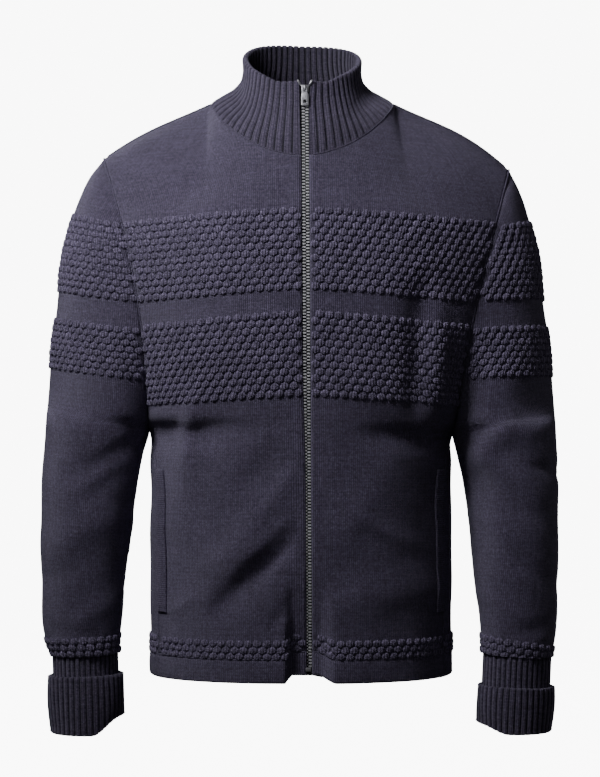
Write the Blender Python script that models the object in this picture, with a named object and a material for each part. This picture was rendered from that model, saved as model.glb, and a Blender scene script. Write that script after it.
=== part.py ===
"""Zip-up cardigan, filled out as when worn: cloth walls, ribbed collar and cuffs, hem bands, welts and zip.

Sizes in the tables are millimetres; meshes are in metres. +Z is up and -Y is the front, so the wearer's
right is -X. The origin is the middle of the neck, level with the inner ends of the shoulder seams.
"""
import math

import bmesh
import bpy
import numpy as np

for old in list(bpy.data.objects):
    bpy.data.objects.remove(old, do_unlink=True)

MM = 0.001

# Driving sizes
GAP = 0.3  # between pieces at a seam
CLOTH = 2.2  # knitted wall
BOBBLE_RISE = 1.5  # how far a bobble band stands proud of the plain knit
HEM_BAND_THICK = 4.2  # doubled knit
COLLAR_THICK = 5.2  # doubled rib
COLLAR_EDGE_THICK = 2.8  # pressed flat beside the zip
RIB_DEPTH = 1.3
COLLAR_RIBS = 60
CUFF_RIBS = 38
RIB_PHASES = (0.0, 0.24, 0.76)  # one furrow point and two crest points in each rib
HEM_Z, HEM_SEAM_Z = -652.0, -626.0
SLEEVE_END_Z, CUFF_SEAM_RISE = -631.0, 4.0  # outer side of the cuff seam, and its rise to the inner side

# Zip
TAPE_WIDTH, TAPE_THICK, TAPE_INNER, RIM_TAPE_INNER = 12.0, 1.0, 0.25, 3.6
TAPE_END_Z, TAPE_ABOVE = -641.0, 2.0
PANEL_TAPE_STEP, HEM_TAPE_STEP, COLLAR_TAPE_STEP = 0.6, 0.8, 0.8  # more room behind a curving wall
TEETH_INNER, TEETH_OUTER, TEETH_THICK, TEETH_END_Z = 0.2, 3.0, 2.1, -634.0
SLIDER_Z, SLIDER_LONG, SLIDER_WIDE, SLIDER_POST, BAIL_WIDE = 15.5, 8.6, 8.4, 0.9, 1.8
SLIDER_MOUTH = 2.0  # from the slider down to the closed teeth and the parting of the tapes
PULL_AXIS_OUT, PULL_LONG, PULL_THICK, PULL_CLEAR = 1.7, 21.0, 1.3, 1.6
SLIDER_PLATE, SLIDER_REAR_PLATE, SLIDER_TAPE_CLEAR = 1.2, 1.0, 0.5
BAIL_ARCH = [(-3.2, -0.2), (-3.2, 2.5), (-2.2, 3.7), (2.2, 3.7), (3.2, 2.5), (3.2, -0.2),  # along and out
             (2.2, -0.2), (2.2, 2.2), (1.6, 2.8), (-1.6, 2.8), (-2.2, 2.2), (-2.2, -0.2)]
PULL_NECK, PULL_NECK_LONG, PULL_SHOULDER_AT, PULL_HALF = 2.7, 4.6, 8.0, 4.3  # neck and wider lower part
PULL_CORNER = 0.8
PULL_BAIL_HOLE, PULL_HOLE = (1.6, 4.3), (1.8, 14.4, 18.0)  # half width, and how far down they reach
TOP_STOP_LONG, TOP_STOP_SPAN, TOP_STOP_DEPTH = 2.8, (3.0, 5.0), (-2.7, -0.9)
BOTTOM_STOP_LONG, BOTTOM_STOP_HALF, BOTTOM_STOP_THICK = 4.2, 3.0, 2.1
TEETH_LIFT = 0.1  # of the teeth and the bottom stop over the tape
ZIP_TOP_X, ZIP_BOTTOM_X = -1.4, 2.5
ZIP_EDGE = 3.4  # from the zip's middle line to each knitted edge
FRONT_FULLNESS, SIDE_FULLNESS = 0.4, 0.36  # how square a row of the body is, near the zip and near the side
BACK_ROW_RISE = 3.0  # a row of the back is this much higher in the middle
RECESS, RECESS_TOP_Z, RECESS_HALF = 9.0, -560.0, 26.0  # the hem is drawn in at the zip
ARM_TURN_TOP, ARM_TURN_PIT = 36, 86  # how far a panel has turned from the front at the armhole seam, degrees
SHOULDER_LEAN = (0.43, 0.9)  # outward at the shoulder seam: sideways and up
WIDEST_Y, SIDE_WRAP = 4.0, (7.0, 14.0, 16.0)  # where the back is widest, and how it rounds to the side seam
PANEL_COLUMNS = 12  # of a front, half of them under the neck seam; the back has twice as many
SLEEVE_COLUMNS = 20
SLEEVE_QUARTER = 0.73  # how much of its depth a sleeve row has kept half way out

# Neck seam, where collar and body meet
NECK_X, NECK_HALF, NECK_FRONT, NECK_BACK = -4.5, 106.0, 100.0, 80.0
NECK_SIDE_Z, NECK_FRONT_DROP, NECK_BACK_RISE = 6.0, 67.0, 2.0
NECK_DROP_POWER = 1.55

# Collar rim
RIM_HALF, RIM_FRONT, RIM_BACK = 69.0, 77.0, 66.0
RIM_FRONT_Z, RIM_SIDE_Z, RIM_BACK_Z = 21.0, 55.0, 78.0
RIM_CREST = 2.4  # rounded edge above the rim line
RIM_DIP, RIM_DIP_AT, RIM_DIP_WIDTH = 3.0, 24.0, 11.0  # beside the zip: how deep, and degrees from the front
RIM_SLIT = 6.0  # from the zip's middle line to each edge at the rim
RIM_FIRST_TURN = 10  # degrees from the front to the rim line's first point beyond the slit

# Pocket welts, beside the side seams
WELT_WIDTH, WELT_THICK, WELT_INSET, WELT_LIFT = 19.5, 1.8, 1.0, 0.8
WELT_ROWS = (-415, -440, -490, -545, -578)


def columns(names, rows):
    """A table as a dictionary of named columns; the first one is what the others depend on."""
    return dict(zip(names.split(), np.array(rows, float).T))


TORSO = columns("z centre half front back", [
    (-652, -6, 174, 121, 118),
    (-600, -6, 174, 121, 117),
    (-500, -6, 175, 120, 115),
    (-430, -6, 174, 121, 115),
    (-369, -6, 175, 125, 118),
    (-300, -2, 180, 130, 124),
    (-213, 0, 184, 131, 128),
    (-166, 0, 184, 128, 127),
    (-120, 0, 184, 120, 122),
    (-61, 0, 184, 102, 110),
])
SIDE_SEAM = columns("z x y turn", [
    (-652, 162, -46, 61),
    (-430, 163, -46, 61),
    (-395, 168, -30, 72),
    (-369, 174, 0, 86),
])
ARMHOLE = {  # shoulder tip, underarm, and how far the seam reaches forward and back
    -1: dict(tip=(-235, 8, -57), pit=(-181, 0, -369), front=76, back=82, bow=15),
    1: dict(tip=(236, 8, -70), pit=(169, 0, -376), front=76, back=82, bow=8),
}
TOP_ANGLES = (0, 12, 25, 40, 52)  # stations round the top of an armhole, degrees from its tip
SEAM_STATIONS = (-133.5, -135, -180, -225, -226.5, -253.5, -255, -284, -313, -314.5, -341, -342.5)
PIT_STATION = 11  # last station above the underarm point

# Rows of a front or back panel, from the underarm down: height, and 1 where the bobbles are
LOWER_ROWS = columns("z bobbles", [
    (-400, 0), (-440, 0), (-490, 0), (-545, 0), (-603, 0), (-604.5, 1), (-626, 1),
])
PANEL_DROOP = columns("side droop", [  # how much lower a row is at the side than at the zip
    (-652, 0), (-369, 6), (-341, 12), (-255, 15), (-226, 13), (-134, 13), (-117, 14),
])
PANEL_BANDS = ((-225, -135), (-341, -255))  # bobbles, by height at the armhole seam
SLEEVE_BANDS = ((-225, -135), (-313, -255))

# Sleeve outline from the front: outer and inner edge, half depth, and the middle's place front to back
SLEEVE_LINES = {
    -1: columns("z outer inner depth middle", [
        (-631, 294, 216, 41, -14), (-603, 303, 214, 45, -14), (-545, 305, 208.5, 51, -12),
        (-487, 305, 201, 57, -9), (-436, 304.5, 195, 62, -7), (-399, 303, 188, 65, -5),
        (-369, 302, 181.4, 67, -3), (-348, 300, 181, 69, -2), (-290, 297, 187, 75, 0),
        (-232, 289, 194, 79, 2), (-178, 283, 203, 78, 4), (-139, 274, 212, 72, 5),
        (-111, 265, 220, 60, 6), (-93, 258, 226, 52, 6), (-74, 248, 231, 38, 7), (-57, 235, 235, 20, 8),
    ]),
    1: columns("z outer inner depth middle", [
        (-631, 284, 203, 41, -14), (-603, 288, 202, 45, -14), (-566, 290, 197, 49, -13),
        (-492, 291, 188, 57, -9), (-436, 291, 181, 62, -7), (-399, 290, 174, 65, -5),
        (-376, 289, 169.4, 67, -3), (-348, 287, 171, 69, -2), (-288, 284, 183, 75, 0),
        (-232, 277, 196, 79, 2), (-176, 270, 212, 78, 4), (-139, 262, 222, 70, 5),
        (-121, 256, 228, 60, 6), (-100, 250, 233, 48, 6), (-86, 243, 235, 36, 7), (-70, 236, 236, 20, 8),
    ]),
}
SLEEVE_DROOP = 14  # how much lower a row of the sleeve is at the armhole seam than at its outer side
SLEEVE_LOWER = columns("z bobbles droop", [  # by height at the inner side
    (-400, 0, 12), (-440, 0, 10), (-490, 0, 6), (-545, 0, 2), (-603, 0, -4), (-604.5, 1, -4), (-627, 1, -4),
])

# How far the collar has come in from neck seam to rim, by the share of its height
COLLAR_RISE = columns("share front side back", [
    (0.0, 0.0, 0.0, 0.0),
    (0.08, 0.05, 0.14, 0.12),
    (0.2, 0.14, 0.42, 0.33),
    (0.35, 0.3, 0.76, 0.58),
    (0.55, 0.56, 0.97, 0.84),
    (0.8, 0.84, 1.02, 0.98),
    (1.0, 1.0, 1.0, 1.0),
])
COLLAR_OUTER_ROWS = (0.0, 0.06, 0.2, 0.38, 0.6, 0.82, 1.0)
COLLAR_INNER_ROWS = (1.0, 0.82, 0.6, 0.3, 0.0)

# Cuffs: rib tube, and the same rib turned back up over it. Widths are half widths from the front.
CUFFS = {
    -1: dict(x=-254.5, y=-14, tube=37.4, turned=43.0, edge_z=-653, fold_z=-719, lean=2.5, lift=20),
    1: dict(x=243.5, y=-14, tube=39.0, turned=43.8, edge_z=-665.5, fold_z=-717.5, lean=4.0, lift=10),
}
CUFF_WALL, CUFF_CLEAR, CUFF_DEEPER = 2.3, 1.2, 1.04

# Largest folds: a line on the cloth seen from the front (or, where behind is 1, from the back), how
# wide it is and how far it stands out; a trough stands in.
FOLDS = columns("x1 z1 x2 z2 width out behind", [
    (-122, -340, -146, -480, 18, 5, 0),
    (-28, -430, -112, -560, 20, 6, 0),
    (-34, -400, -64, -425, 16, -4, 0),
    (-24, -500, -92, -568, 16, -5, 0),
    (128, -210, 124, -350, 15, -7, 0),
    (148, -230, 142, -345, 14, 5, 0),
    (40, -560, 140, -548, 20, 4, 0),
    (96, -400, 30, -500, 24, 4, 0),
    (-90, -380, -30, -470, 24, 6, 1),
    (100, -390, 40, -500, 22, 6, 1),
    (-130, -520, -60, -580, 22, 5, 1),
    (120, -250, 128, -360, 18, -6, 1),
    (-125, -240, -130, -355, 18, -6, 1),
    (0, -80, 0, -230, 40, -5, 1),
])
SLEEVE_FOLDS = columns("side x1 z1 x2 z2 width out behind", [
    (-1, -205, -385, -262, -420, 14, -5, 0),
    (-1, -222, -470, -286, -500, 16, 4, 0),
    (1, 235, -358, 196, -400, 14, 6, 0),
    (1, 200, -430, 262, -468, 14, -5, 0),
    (1, 262, -412, 289, -420, 8, -4, 0),
    (-1, -205, -400, -280, -450, 16, -6, 1),
    (1, 200, -400, 270, -455, 16, -6, 1),
])

COLOURS = {  # base colour, roughness, metallic
    "knit": ((0.055, 0.05, 0.085), 0.92, 0.0),
    "rib_knit": ((0.048, 0.043, 0.074), 0.92, 0.0),
    "zip_tape": ((0.02, 0.018, 0.032), 0.8, 0.0),
    "zip_metal": ((0.6, 0.6, 0.62), 0.32, 1.0),
}


# Small tools

def curve(table, name, at):
    """A smooth value of one column at a place along the table's first column, with no overshoot."""
    keys, values = next(iter(table.values())), table[name]
    order = np.argsort(keys)
    keys, values = keys[order], values[order]
    at = np.clip(at, keys[0], keys[-1])
    gaps = np.diff(keys)
    slopes = np.diff(values) / gaps
    tangents = np.zeros(len(keys))
    tangents[0], tangents[-1] = slopes[0], slopes[-1]
    for i in range(1, len(keys) - 1):
        if slopes[i - 1] * slopes[i] > 0:
            tangents[i] = 2 * slopes[i - 1] * slopes[i] / (slopes[i - 1] + slopes[i])
    i = np.clip(np.searchsorted(keys, at, side="right") - 1, 0, len(gaps) - 1)
    t = (at - keys[i]) / gaps[i]
    return (values[i] * (1 + 2 * t) * (1 - t) ** 2 + values[i + 1] * t * t * (3 - 2 * t)
            + gaps[i] * t * (1 - t) * (tangents[i] * (1 - t) - tangents[i + 1] * t))


def unit(vectors):
    vectors = np.asarray(vectors, float)
    return vectors / np.maximum(np.linalg.norm(vectors, axis=-1, keepdims=True), 1e-9)


def smooth(t):
    t = np.clip(t, 0.0, 1.0)
    return t * t * (3 - 2 * t)


def bezier(points, count, first=0.0, last=1.0):
    t = np.linspace(first, last, count)[:, None]
    a, b, c, d = (np.array(p, float) for p in points)
    return a * (1 - t) ** 3 + 3 * b * t * (1 - t) ** 2 + 3 * c * t * t * (1 - t) + d * t ** 3


def along(line, shares):
    """Points at shares of a polyline's length."""
    line = np.asarray(line, float)
    walked = np.concatenate([[0], np.cumsum(np.linalg.norm(np.diff(line, axis=0), axis=1))])
    at = np.asarray(shares) * walked[-1]
    return np.stack([np.interp(at, walked, line[:, k]) for k in range(3)], 1)


def grid_normals(grid, outward_from):
    """Unit normals of a grid of points, all on the side away from a middle line at (x, y)."""
    across = np.gradient(grid, axis=1)
    down = np.gradient(grid, axis=0)
    normals = unit(np.cross(across, down))
    away = grid - np.array([outward_from[0], outward_from[1], 0.0])
    away[..., 2] = 0
    flip = np.sign((normals * away).sum(-1).sum())
    return normals * flip


def on_grid(grid, row, column):
    """A point between a grid's points, by fractional row and column."""
    r = min(int(row), len(grid) - 2)
    c = min(int(column), grid.shape[1] - 2)
    v, u = row - r, column - c
    top = grid[r, c] * (1 - u) + grid[r, c + 1] * u
    return top * (1 - v) + (grid[r + 1, c] * (1 - u) + grid[r + 1, c + 1] * u) * v


# Meshes

def material(name):
    found = bpy.data.materials.get(name)
    if found:
        return found
    colour, rough, metal = COLOURS[name]
    made = bpy.data.materials.new(name)
    made.use_nodes = True
    shader = made.node_tree.nodes["Principled BSDF"]
    shader.inputs["Base Color"].default_value = (*colour, 1.0)
    shader.inputs["Roughness"].default_value = rough
    shader.inputs["Metallic"].default_value = metal
    made.diffuse_color = (*colour, 1.0)
    return made


def piece(name, points, faces, kind, crease=50):
    """A closed solid from points in millimetres."""
    mesh = bpy.data.meshes.new(name)
    mesh.from_pydata([tuple(p * MM for p in point) for point in points], [], faces)
    work = bmesh.new()
    work.from_mesh(mesh)
    bmesh.ops.remove_doubles(work, verts=work.verts, dist=0.00002)
    bmesh.ops.triangulate(work, faces=work.faces, quad_method="SHORT_EDGE")
    bmesh.ops.recalc_face_normals(work, faces=work.faces)
    if work.calc_volume(signed=True) < 0:
        bmesh.ops.reverse_faces(work, faces=work.faces)
    work.to_mesh(mesh)
    work.free()
    mesh.shade_smooth()
    mesh.set_sharp_from_angle(angle=math.radians(crease))
    mesh.materials.append(material(kind))
    made = bpy.data.objects.new(name, mesh)
    bpy.context.scene.collection.objects.link(made)
    return made


def wall(name, outer, inner, kind, joined_from=None):
    """A wall between two grids of points. From row joined_from on, the last column is the first one."""
    rows, count = outer.shape[:2]
    index = np.arange(rows * count).reshape(rows, count)
    if joined_from is not None:
        index[joined_from:, -1] = index[joined_from:, 0]
    quads = [(index[r, c], index[r, c + 1], index[r + 1, c + 1], index[r + 1, c])
             for r in range(rows - 1) for c in range(count - 1)]
    edges = {}
    for quad in quads:
        for a, b in zip(quad, quad[1:] + quad[:1]):
            edges[(a, b)] = (b, a) not in edges and edges.get((a, b), True)
            if (b, a) in edges:
                edges[(a, b)] = edges[(b, a)] = False
    shift = rows * count
    faces = quads + [tuple(i + shift for i in reversed(quad)) for quad in quads]
    faces += [(b, a, a + shift, b + shift) for (a, b), open_edge in edges.items() if open_edge]
    faces = [[int(i) for i in face] for face in faces]
    points = np.concatenate([outer.reshape(-1, 3), inner.reshape(-1, 3)])
    used = sorted({i for face in faces for i in face})
    place = {old: new for new, old in enumerate(used)}
    return piece(name, points[used], [[place[i] for i in face] for face in faces], kind)


def stitch(first, second):
    """Triangles between two lists of vertex numbers that run side by side, of any two lengths."""
    faces, i, j = [], 0, 0
    while i < len(first) - 1 or j < len(second) - 1:
        step_first = j == len(second) - 1 or (
            i < len(first) - 1 and (i + 1) / (len(first) - 1) <= (j + 1) / (len(second) - 1) + 1e-9)
        if step_first:
            faces.append((first[i], first[i + 1], second[j]))
            i += 1
        else:
            faces.append((first[i], second[j + 1], second[j]))
            j += 1
    return faces


def lofted(name, sections, kind, closed_round, capped_at=None):
    """A solid whose cross-section runs through lists of points, one list for each corner of it."""
    points, lists = [], []
    for section in sections:
        numbers = list(range(len(points), len(points) + len(section)))
        points += [tuple(p) for p in section]
        lists.append(numbers + numbers[:1] if closed_round else numbers)
    faces = []
    for here, there in zip(lists, lists[1:] + lists[:1]):
        faces += stitch(here, there)
    if not closed_round:
        for end in (0, -1):
            rim = [numbers[end] for numbers in lists]
            outer, inner = rim[:capped_at], rim[:capped_at - 1:-1]
            faces += stitch(outer, inner)
    return piece(name, points, faces, kind)


# The body's form

def zip_x(z):
    share = np.clip((z - RIM_FRONT_Z) / (HEM_Z - RIM_FRONT_Z), 0, 1)
    return ZIP_TOP_X + (ZIP_BOTTOM_X - ZIP_TOP_X) * share


def neck_line(turn):
    """The neck seam at an angle from the front, 0 to 360 degrees by way of the wearer's right."""
    a = math.radians(turn)
    ahead = math.cos(a)
    depth = NECK_FRONT if ahead > 0 else NECK_BACK
    z = NECK_SIDE_Z - NECK_FRONT_DROP * max(ahead, 0) ** NECK_DROP_POWER + NECK_BACK_RISE * max(-ahead, 0)
    return np.array([NECK_X - NECK_HALF * math.sin(a), -depth * ahead, z])


def neck_normal(turn):
    """Outward at the neck seam, alike for the body and the collar, so that their edges stay parted."""
    a = math.radians(turn)
    return unit([-0.55 * math.sin(a), -0.9 * math.cos(a), 0.3 + 0.55 * math.sin(a) ** 2])


def neck_knots():
    """Neck seam from the wearer's right zip edge round the back to the left one, with normals."""
    step = 180 / PANEL_COLUMNS
    turns = [i * step for i in range(2 * PANEL_COLUMNS + 1)]
    line = np.array([neck_line(turn) for turn in turns])
    middle = zip_x(line[0, 2])
    line[0, 0], line[-1, 0] = middle - ZIP_EDGE, middle + ZIP_EDGE
    return line, np.array([neck_normal(turn) for turn in turns])


def arm_point(side, turn):
    """The armhole seam at an angle from its top, in front where positive and behind where negative."""
    hole = ARMHOLE[side]
    tip, pit = np.array(hole["tip"], float), np.array(hole["pit"], float)
    a = math.radians(turn)
    reach = hole["front"] if turn > 0 else hole["back"]
    point = (tip + pit) / 2 + (tip - pit) / 2 * math.cos(a)
    point[1] -= reach * math.sin(a)
    point[0] -= side * hole["bow"] * math.sin(a) ** 2
    return point


def arm_normal(side, turn):
    """Away from the armhole's middle in its own plane, alike for body and sleeve."""
    hole = ARMHOLE[side]
    half = (np.array(hole["tip"], float) - np.array(hole["pit"], float)) / 2
    half[1] = 0
    reach = hole["front"] if turn > 0 else hole["back"]
    a = math.radians(turn)
    return unit(unit(half) * math.cos(a) / np.linalg.norm(half) + np.array([0, -math.sin(a) / reach, 0]))


def arm_across(side):
    """From the body to the sleeve, square to the armhole's plane."""
    hole = ARMHOLE[side]
    half = (np.array(hole["tip"], float) - np.array(hole["pit"], float)) / 2
    return unit([side * abs(half[2]), 0, -abs(half[0])])


def arm_turns(side):
    """Angles of the armhole's stations, from its tip to the underarm point."""
    tip, pit = ARMHOLE[side]["tip"][2], ARMHOLE[side]["pit"][2]
    middle, half = (tip + pit) / 2, (tip - pit) / 2
    heights = list(SEAM_STATIONS) + [pit + PIT_STATION]
    return list(TOP_ANGLES) + [math.degrees(math.acos((z - middle) / half)) for z in heights] + [180]


def side_seam(side, z):
    centre = curve(TORSO, "centre", z)
    point = np.array([centre + side * curve(SIDE_SEAM, "x", z), curve(SIDE_SEAM, "y", z), z])
    if z > -371:
        point = np.array(ARMHOLE[side]["pit"], float)
    return point, curve(SIDE_SEAM, "turn", z)


def level_at_zip(z):
    """Height at the zip of the row that is at height z at the side."""
    return z + curve(PANEL_DROOP, "droop", z)


def front_row(side, seam, turn, height, count):
    """One row of a front, from the zip edge to a point on the side seam or armhole seam."""
    z = level_at_zip(height)
    edge = np.array([zip_x(z) + side * ZIP_EDGE, -curve(TORSO, "front", z), z])
    chord = np.linalg.norm(seam - edge)
    a = math.radians(turn)
    first = edge + [side * FRONT_FULLNESS * chord, 0, (seam[2] - z) * 0.35]
    second = seam - np.array([side * math.cos(a), math.sin(a), 0]) * SIDE_FULLNESS * chord
    second[2] = seam[2] + (z - seam[2]) * 0.25
    return bezier((edge, first, second, seam), count)


def back_row(seams, turn, height):
    """A row of the back, from the wearer's right seam point to the left one; turn is None under the arms."""
    middle = np.array([curve(TORSO, "centre", height), curve(TORSO, "back", height), height + BACK_ROW_RISE])
    halves = []
    for side, seam in zip((-1, 1), seams):
        if turn is None:
            half = curve(TORSO, "half", height)
            widest = np.array([middle[0] + side * half, WIDEST_Y, height])
            aside, ahead, behind = SIDE_WRAP
            before = bezier((seam, seam + [side * aside, ahead, 0], widest - [0, behind, 0], widest), 3)
            after = bezier((widest, widest + [0, 0.6 * middle[1], 0],
                            middle + [side * 0.6 * half, 0, 0], middle), PANEL_COLUMNS - 1)
            halves.append(np.concatenate([before[:-1], after]))
        else:
            a = math.radians(turn)
            chord = np.linalg.norm(middle - seam)
            start = seam + np.array([-side * math.cos(a), math.sin(a), 0]) * SIDE_FULLNESS * chord
            end = middle + [side * FRONT_FULLNESS * chord, 0, 0]
            halves.append(bezier((seam, start, end, middle), PANEL_COLUMNS + 1))
    return np.concatenate([halves[0], halves[1][-2::-1]])


def top_line(side, front):
    """A panel's top edge from the neck's middle along the neck seam and the shoulder seam to the tip."""
    knots, _ = neck_knots()
    half = PANEL_COLUMNS // 2
    if side < 0:
        neck = knots[:half + 1] if front else knots[PANEL_COLUMNS:half - 1:-1]
    else:
        neck = knots[:-half - 2:-1] if front else knots[PANEL_COLUMNS:PANEL_COLUMNS + half + 1]
    tip = np.array(ARMHOLE[side]["tip"], float)
    shares = np.linspace(0, 1, half + 1)[1:, None]
    return np.concatenate([neck, neck[-1] * (1 - shares) + tip * shares])


def shoulder_rows(top, first_full, side, front):
    """Rows between the top edge and the first full row under it, rounding over the shoulder."""
    rows = []
    turns = arm_turns(side)
    levels = len(TOP_ANGLES)
    guide = top * 0.5 + first_full * 0.5
    column = np.linspace(0, 1, len(top))[:, None]
    guide[:, 1:2] = top[:, 1:2] * (0.5 - 0.25 * column) + first_full[:, 1:2] * (0.5 + 0.25 * column)
    guide[:, 2:3] = top[:, 2:3] * (0.5 + 0.22 * column) + first_full[:, 2:3] * (0.5 - 0.22 * column)
    for k in range(levels):
        share = k / levels
        row = top * (1 - share) ** 2 + guide * 2 * share * (1 - share) + first_full * share ** 2
        if k:
            end = arm_point(side, turns[k] if front else -turns[k])
            row = row + smooth((column - 0.45) / 0.55) * (end - row[-1])
        rows.append(row)
    return rows


def fold_push(points, normals, table, behind_of, side=None):
    """How far the folds move each point along its normal."""
    push = np.zeros(points.shape[:-1])
    x, z = points[..., 0], points[..., 2]
    behind = points[..., 1] > behind_of
    for i in range(len(table["x1"])):
        if side is not None and table["side"][i] != side:
            continue
        start = np.array([table["x1"][i], table["z1"][i]])
        line = np.array([table["x2"][i], table["z2"][i]]) - start
        share = ((x - start[0]) * line[0] + (z - start[1]) * line[1]) / (line @ line)
        held = np.clip(share, 0, 1)
        off = np.hypot(x - start[0] - line[0] * held, z - start[1] - line[1] * held)
        taper = np.clip(1 - 1.6 * np.abs(held - 0.5) ** 2, 0, 1)
        rise = table["out"][i] * np.exp(-(off / table["width"][i]) ** 2) * taper
        push += np.where(behind == bool(table["behind"][i]), rise, 0)
    return push


def in_bands(height, bands):
    return any(low - 0.1 <= height <= high + 0.1 for low, high in bands)


# Body panels

def arm_tangent(turn):
    """How far round a panel has turned from facing the front where it meets the armhole seam, degrees."""
    return ARM_TURN_TOP + (ARM_TURN_PIT - ARM_TURN_TOP) * smooth((abs(turn) - 90) / 80)


def front_rows(side):
    """Grid of a front from top to bottom, with each row's bobbles."""
    rows, bobbles = [], []
    turns = arm_turns(side)
    for turn in turns[len(TOP_ANGLES):]:
        seam = arm_point(side, turn)
        rows.append(front_row(side, seam, arm_tangent(turn), seam[2], PANEL_COLUMNS + 1))
        bobbles.append(in_bands(seam[2], PANEL_BANDS))
    for z, raised in zip(LOWER_ROWS["z"], LOWER_ROWS["bobbles"]):
        seam, turn = side_seam(side, z)
        rows.append(front_row(side, seam, turn, z, PANEL_COLUMNS + 1))
        bobbles.append(bool(raised))
    top = shoulder_rows(top_line(side, True), rows[0], side, True)
    return np.array(top + rows), [False] * len(top) + bobbles


def back_rows():
    """Grid of the back from top to bottom, wearer's right to left, with each row's bobbles."""
    rows, bobbles = [], []
    pairs = list(zip(arm_turns(-1), arm_turns(1)))
    for right, left in pairs[len(TOP_ANGLES):]:
        seams = arm_point(-1, -right), arm_point(1, -left)
        height = (seams[0][2] + seams[1][2]) / 2
        rows.append(back_row(seams, arm_tangent(right), height))
        bobbles.append(in_bands(height, PANEL_BANDS))
    for z, raised in zip(LOWER_ROWS["z"], LOWER_ROWS["bobbles"]):
        seams = side_seam(-1, z)[0], side_seam(1, z)[0]
        rows.append(back_row(seams, None, z))
        bobbles.append(bool(raised))
    halves = []
    for side in (-1, 1):
        half = rows[0][PANEL_COLUMNS::-1] if side < 0 else rows[0][PANEL_COLUMNS:]
        halves.append(shoulder_rows(top_line(side, False), half, side, False))
    top = [np.concatenate([right[::-1], left[1:]]) for right, left in zip(*halves)]
    return np.array(top + rows), [False] * len(top) + bobbles


def seam_normals(normals, side, column, behind):
    """Sets a panel's normals along one armhole seam and side seam, alike for the pieces that meet there."""
    turns = arm_turns(side)
    for r, turn in enumerate(turns):
        normals[r, column] = arm_normal(side, -turn if behind else turn)
    for r, z in enumerate(LOWER_ROWS["z"], len(turns)):
        a = math.radians(side_seam(side, z)[1])
        normals[r, column] = side * math.sin(a), -math.cos(a), 0


def part_at_seams(grid, side, column, behind):
    """Draws a panel's edge back from the armhole seam and the side seam by half the gap."""
    turns = arm_turns(side)
    grid[:len(turns), column] -= arm_across(side) * GAP / 2
    way = 1 if behind else -1
    for r, z in enumerate(LOWER_ROWS["z"], len(turns)):
        a = math.radians(side_seam(side, z)[1])
        grid[r, column] += np.array([side * math.cos(a), math.sin(a), 0]) * way * GAP / 2
    grid[len(turns) - 1, column, 1] += way * GAP / 2


def top_normals(normals, side, columns_out, front):
    """Sets normals along the neck seam and the shoulder seam; columns_out runs from neck middle to tip."""
    half = PANEL_COLUMNS // 2
    for i, column in enumerate(columns_out):
        if i <= half:
            turn = i * 90 / half if front else 180 - i * 90 / half
            normals[0, column] = neck_normal(turn if side < 0 else 360 - turn)
        elif i < PANEL_COLUMNS:
            normals[0, column] = unit([side * SHOULDER_LEAN[0], 0, SHOULDER_LEAN[1]])


def body_walls(grid, normals, bobbles, push):
    outer = grid + normals * push[..., None]
    inner = outer - normals * CLOTH
    rise = np.array(bobbles, float)[:, None, None] * BOBBLE_RISE
    outer = outer + normals * rise
    depth = RECESS * smooth((RECESS_TOP_Z - grid[..., 2]) / (RECESS_TOP_Z - HEM_Z))
    middle = np.array([[zip_x(z) for z in row] for row in grid[..., 2]])
    share = smooth(1 - np.abs(grid[..., 0] - middle) / RECESS_HALF)
    drawn_in = np.where(grid[..., 1] < 0, depth * share, 0)
    outer[..., 1] += drawn_in
    inner[..., 1] += drawn_in
    return outer, inner


def make_front(side):
    grid, bobbles = front_rows(side)
    normals = grid_normals(grid, (0, 0))
    normals[:, 0, 0] = 0
    normals = unit(normals)
    normals[-3:, :, 2] = 0
    normals = unit(normals)
    seam_normals(normals, side, -1, False)
    top_normals(normals, side, range(PANEL_COLUMNS + 1), True)
    part_at_seams(grid, side, -1, False)
    grid[0, PANEL_COLUMNS // 2:, 1] -= GAP / 2
    held = np.minimum(np.arange(PANEL_COLUMNS + 1), PANEL_COLUMNS - np.arange(PANEL_COLUMNS + 1)) / 1.5
    push = fold_push(grid, normals, FOLDS, 20) * smooth(held)[None, :]
    push *= smooth(np.arange(len(grid)) / 3)[:, None]
    outer, inner = body_walls(grid, normals, bobbles, push)
    name = "front_right" if side < 0 else "front_left"
    wall(name, outer, inner, "knit")
    return outer, inner, normals, bobbles


def make_back():
    grid, bobbles = back_rows()
    normals = grid_normals(grid, (0, 0))
    normals[-3:, :, 2] = 0
    normals = unit(normals)
    for side, column in ((-1, 0), (1, -1)):
        seam_normals(normals, side, column, True)
        step = -1 if side < 0 else 1
        columns_out = range(PANEL_COLUMNS, PANEL_COLUMNS + step * (PANEL_COLUMNS + 1), step)
        top_normals(normals, side, columns_out, False)
        part_at_seams(grid, side, column, True)
    half = PANEL_COLUMNS // 2
    grid[0, :half + 1, 1] += GAP / 2
    grid[0, -half - 1:, 1] += GAP / 2
    held = np.minimum(np.arange(2 * PANEL_COLUMNS + 1), np.arange(2 * PANEL_COLUMNS, -1, -1)) / 3
    push = fold_push(grid, normals, FOLDS, 20) * smooth(held)[None, :]
    push *= smooth(np.arange(len(grid)) / 3)[:, None]
    outer, inner = body_walls(grid, normals, bobbles, push)
    wall("back", outer, inner, "knit")
    return outer, inner, normals, bobbles


# Sleeves

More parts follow.
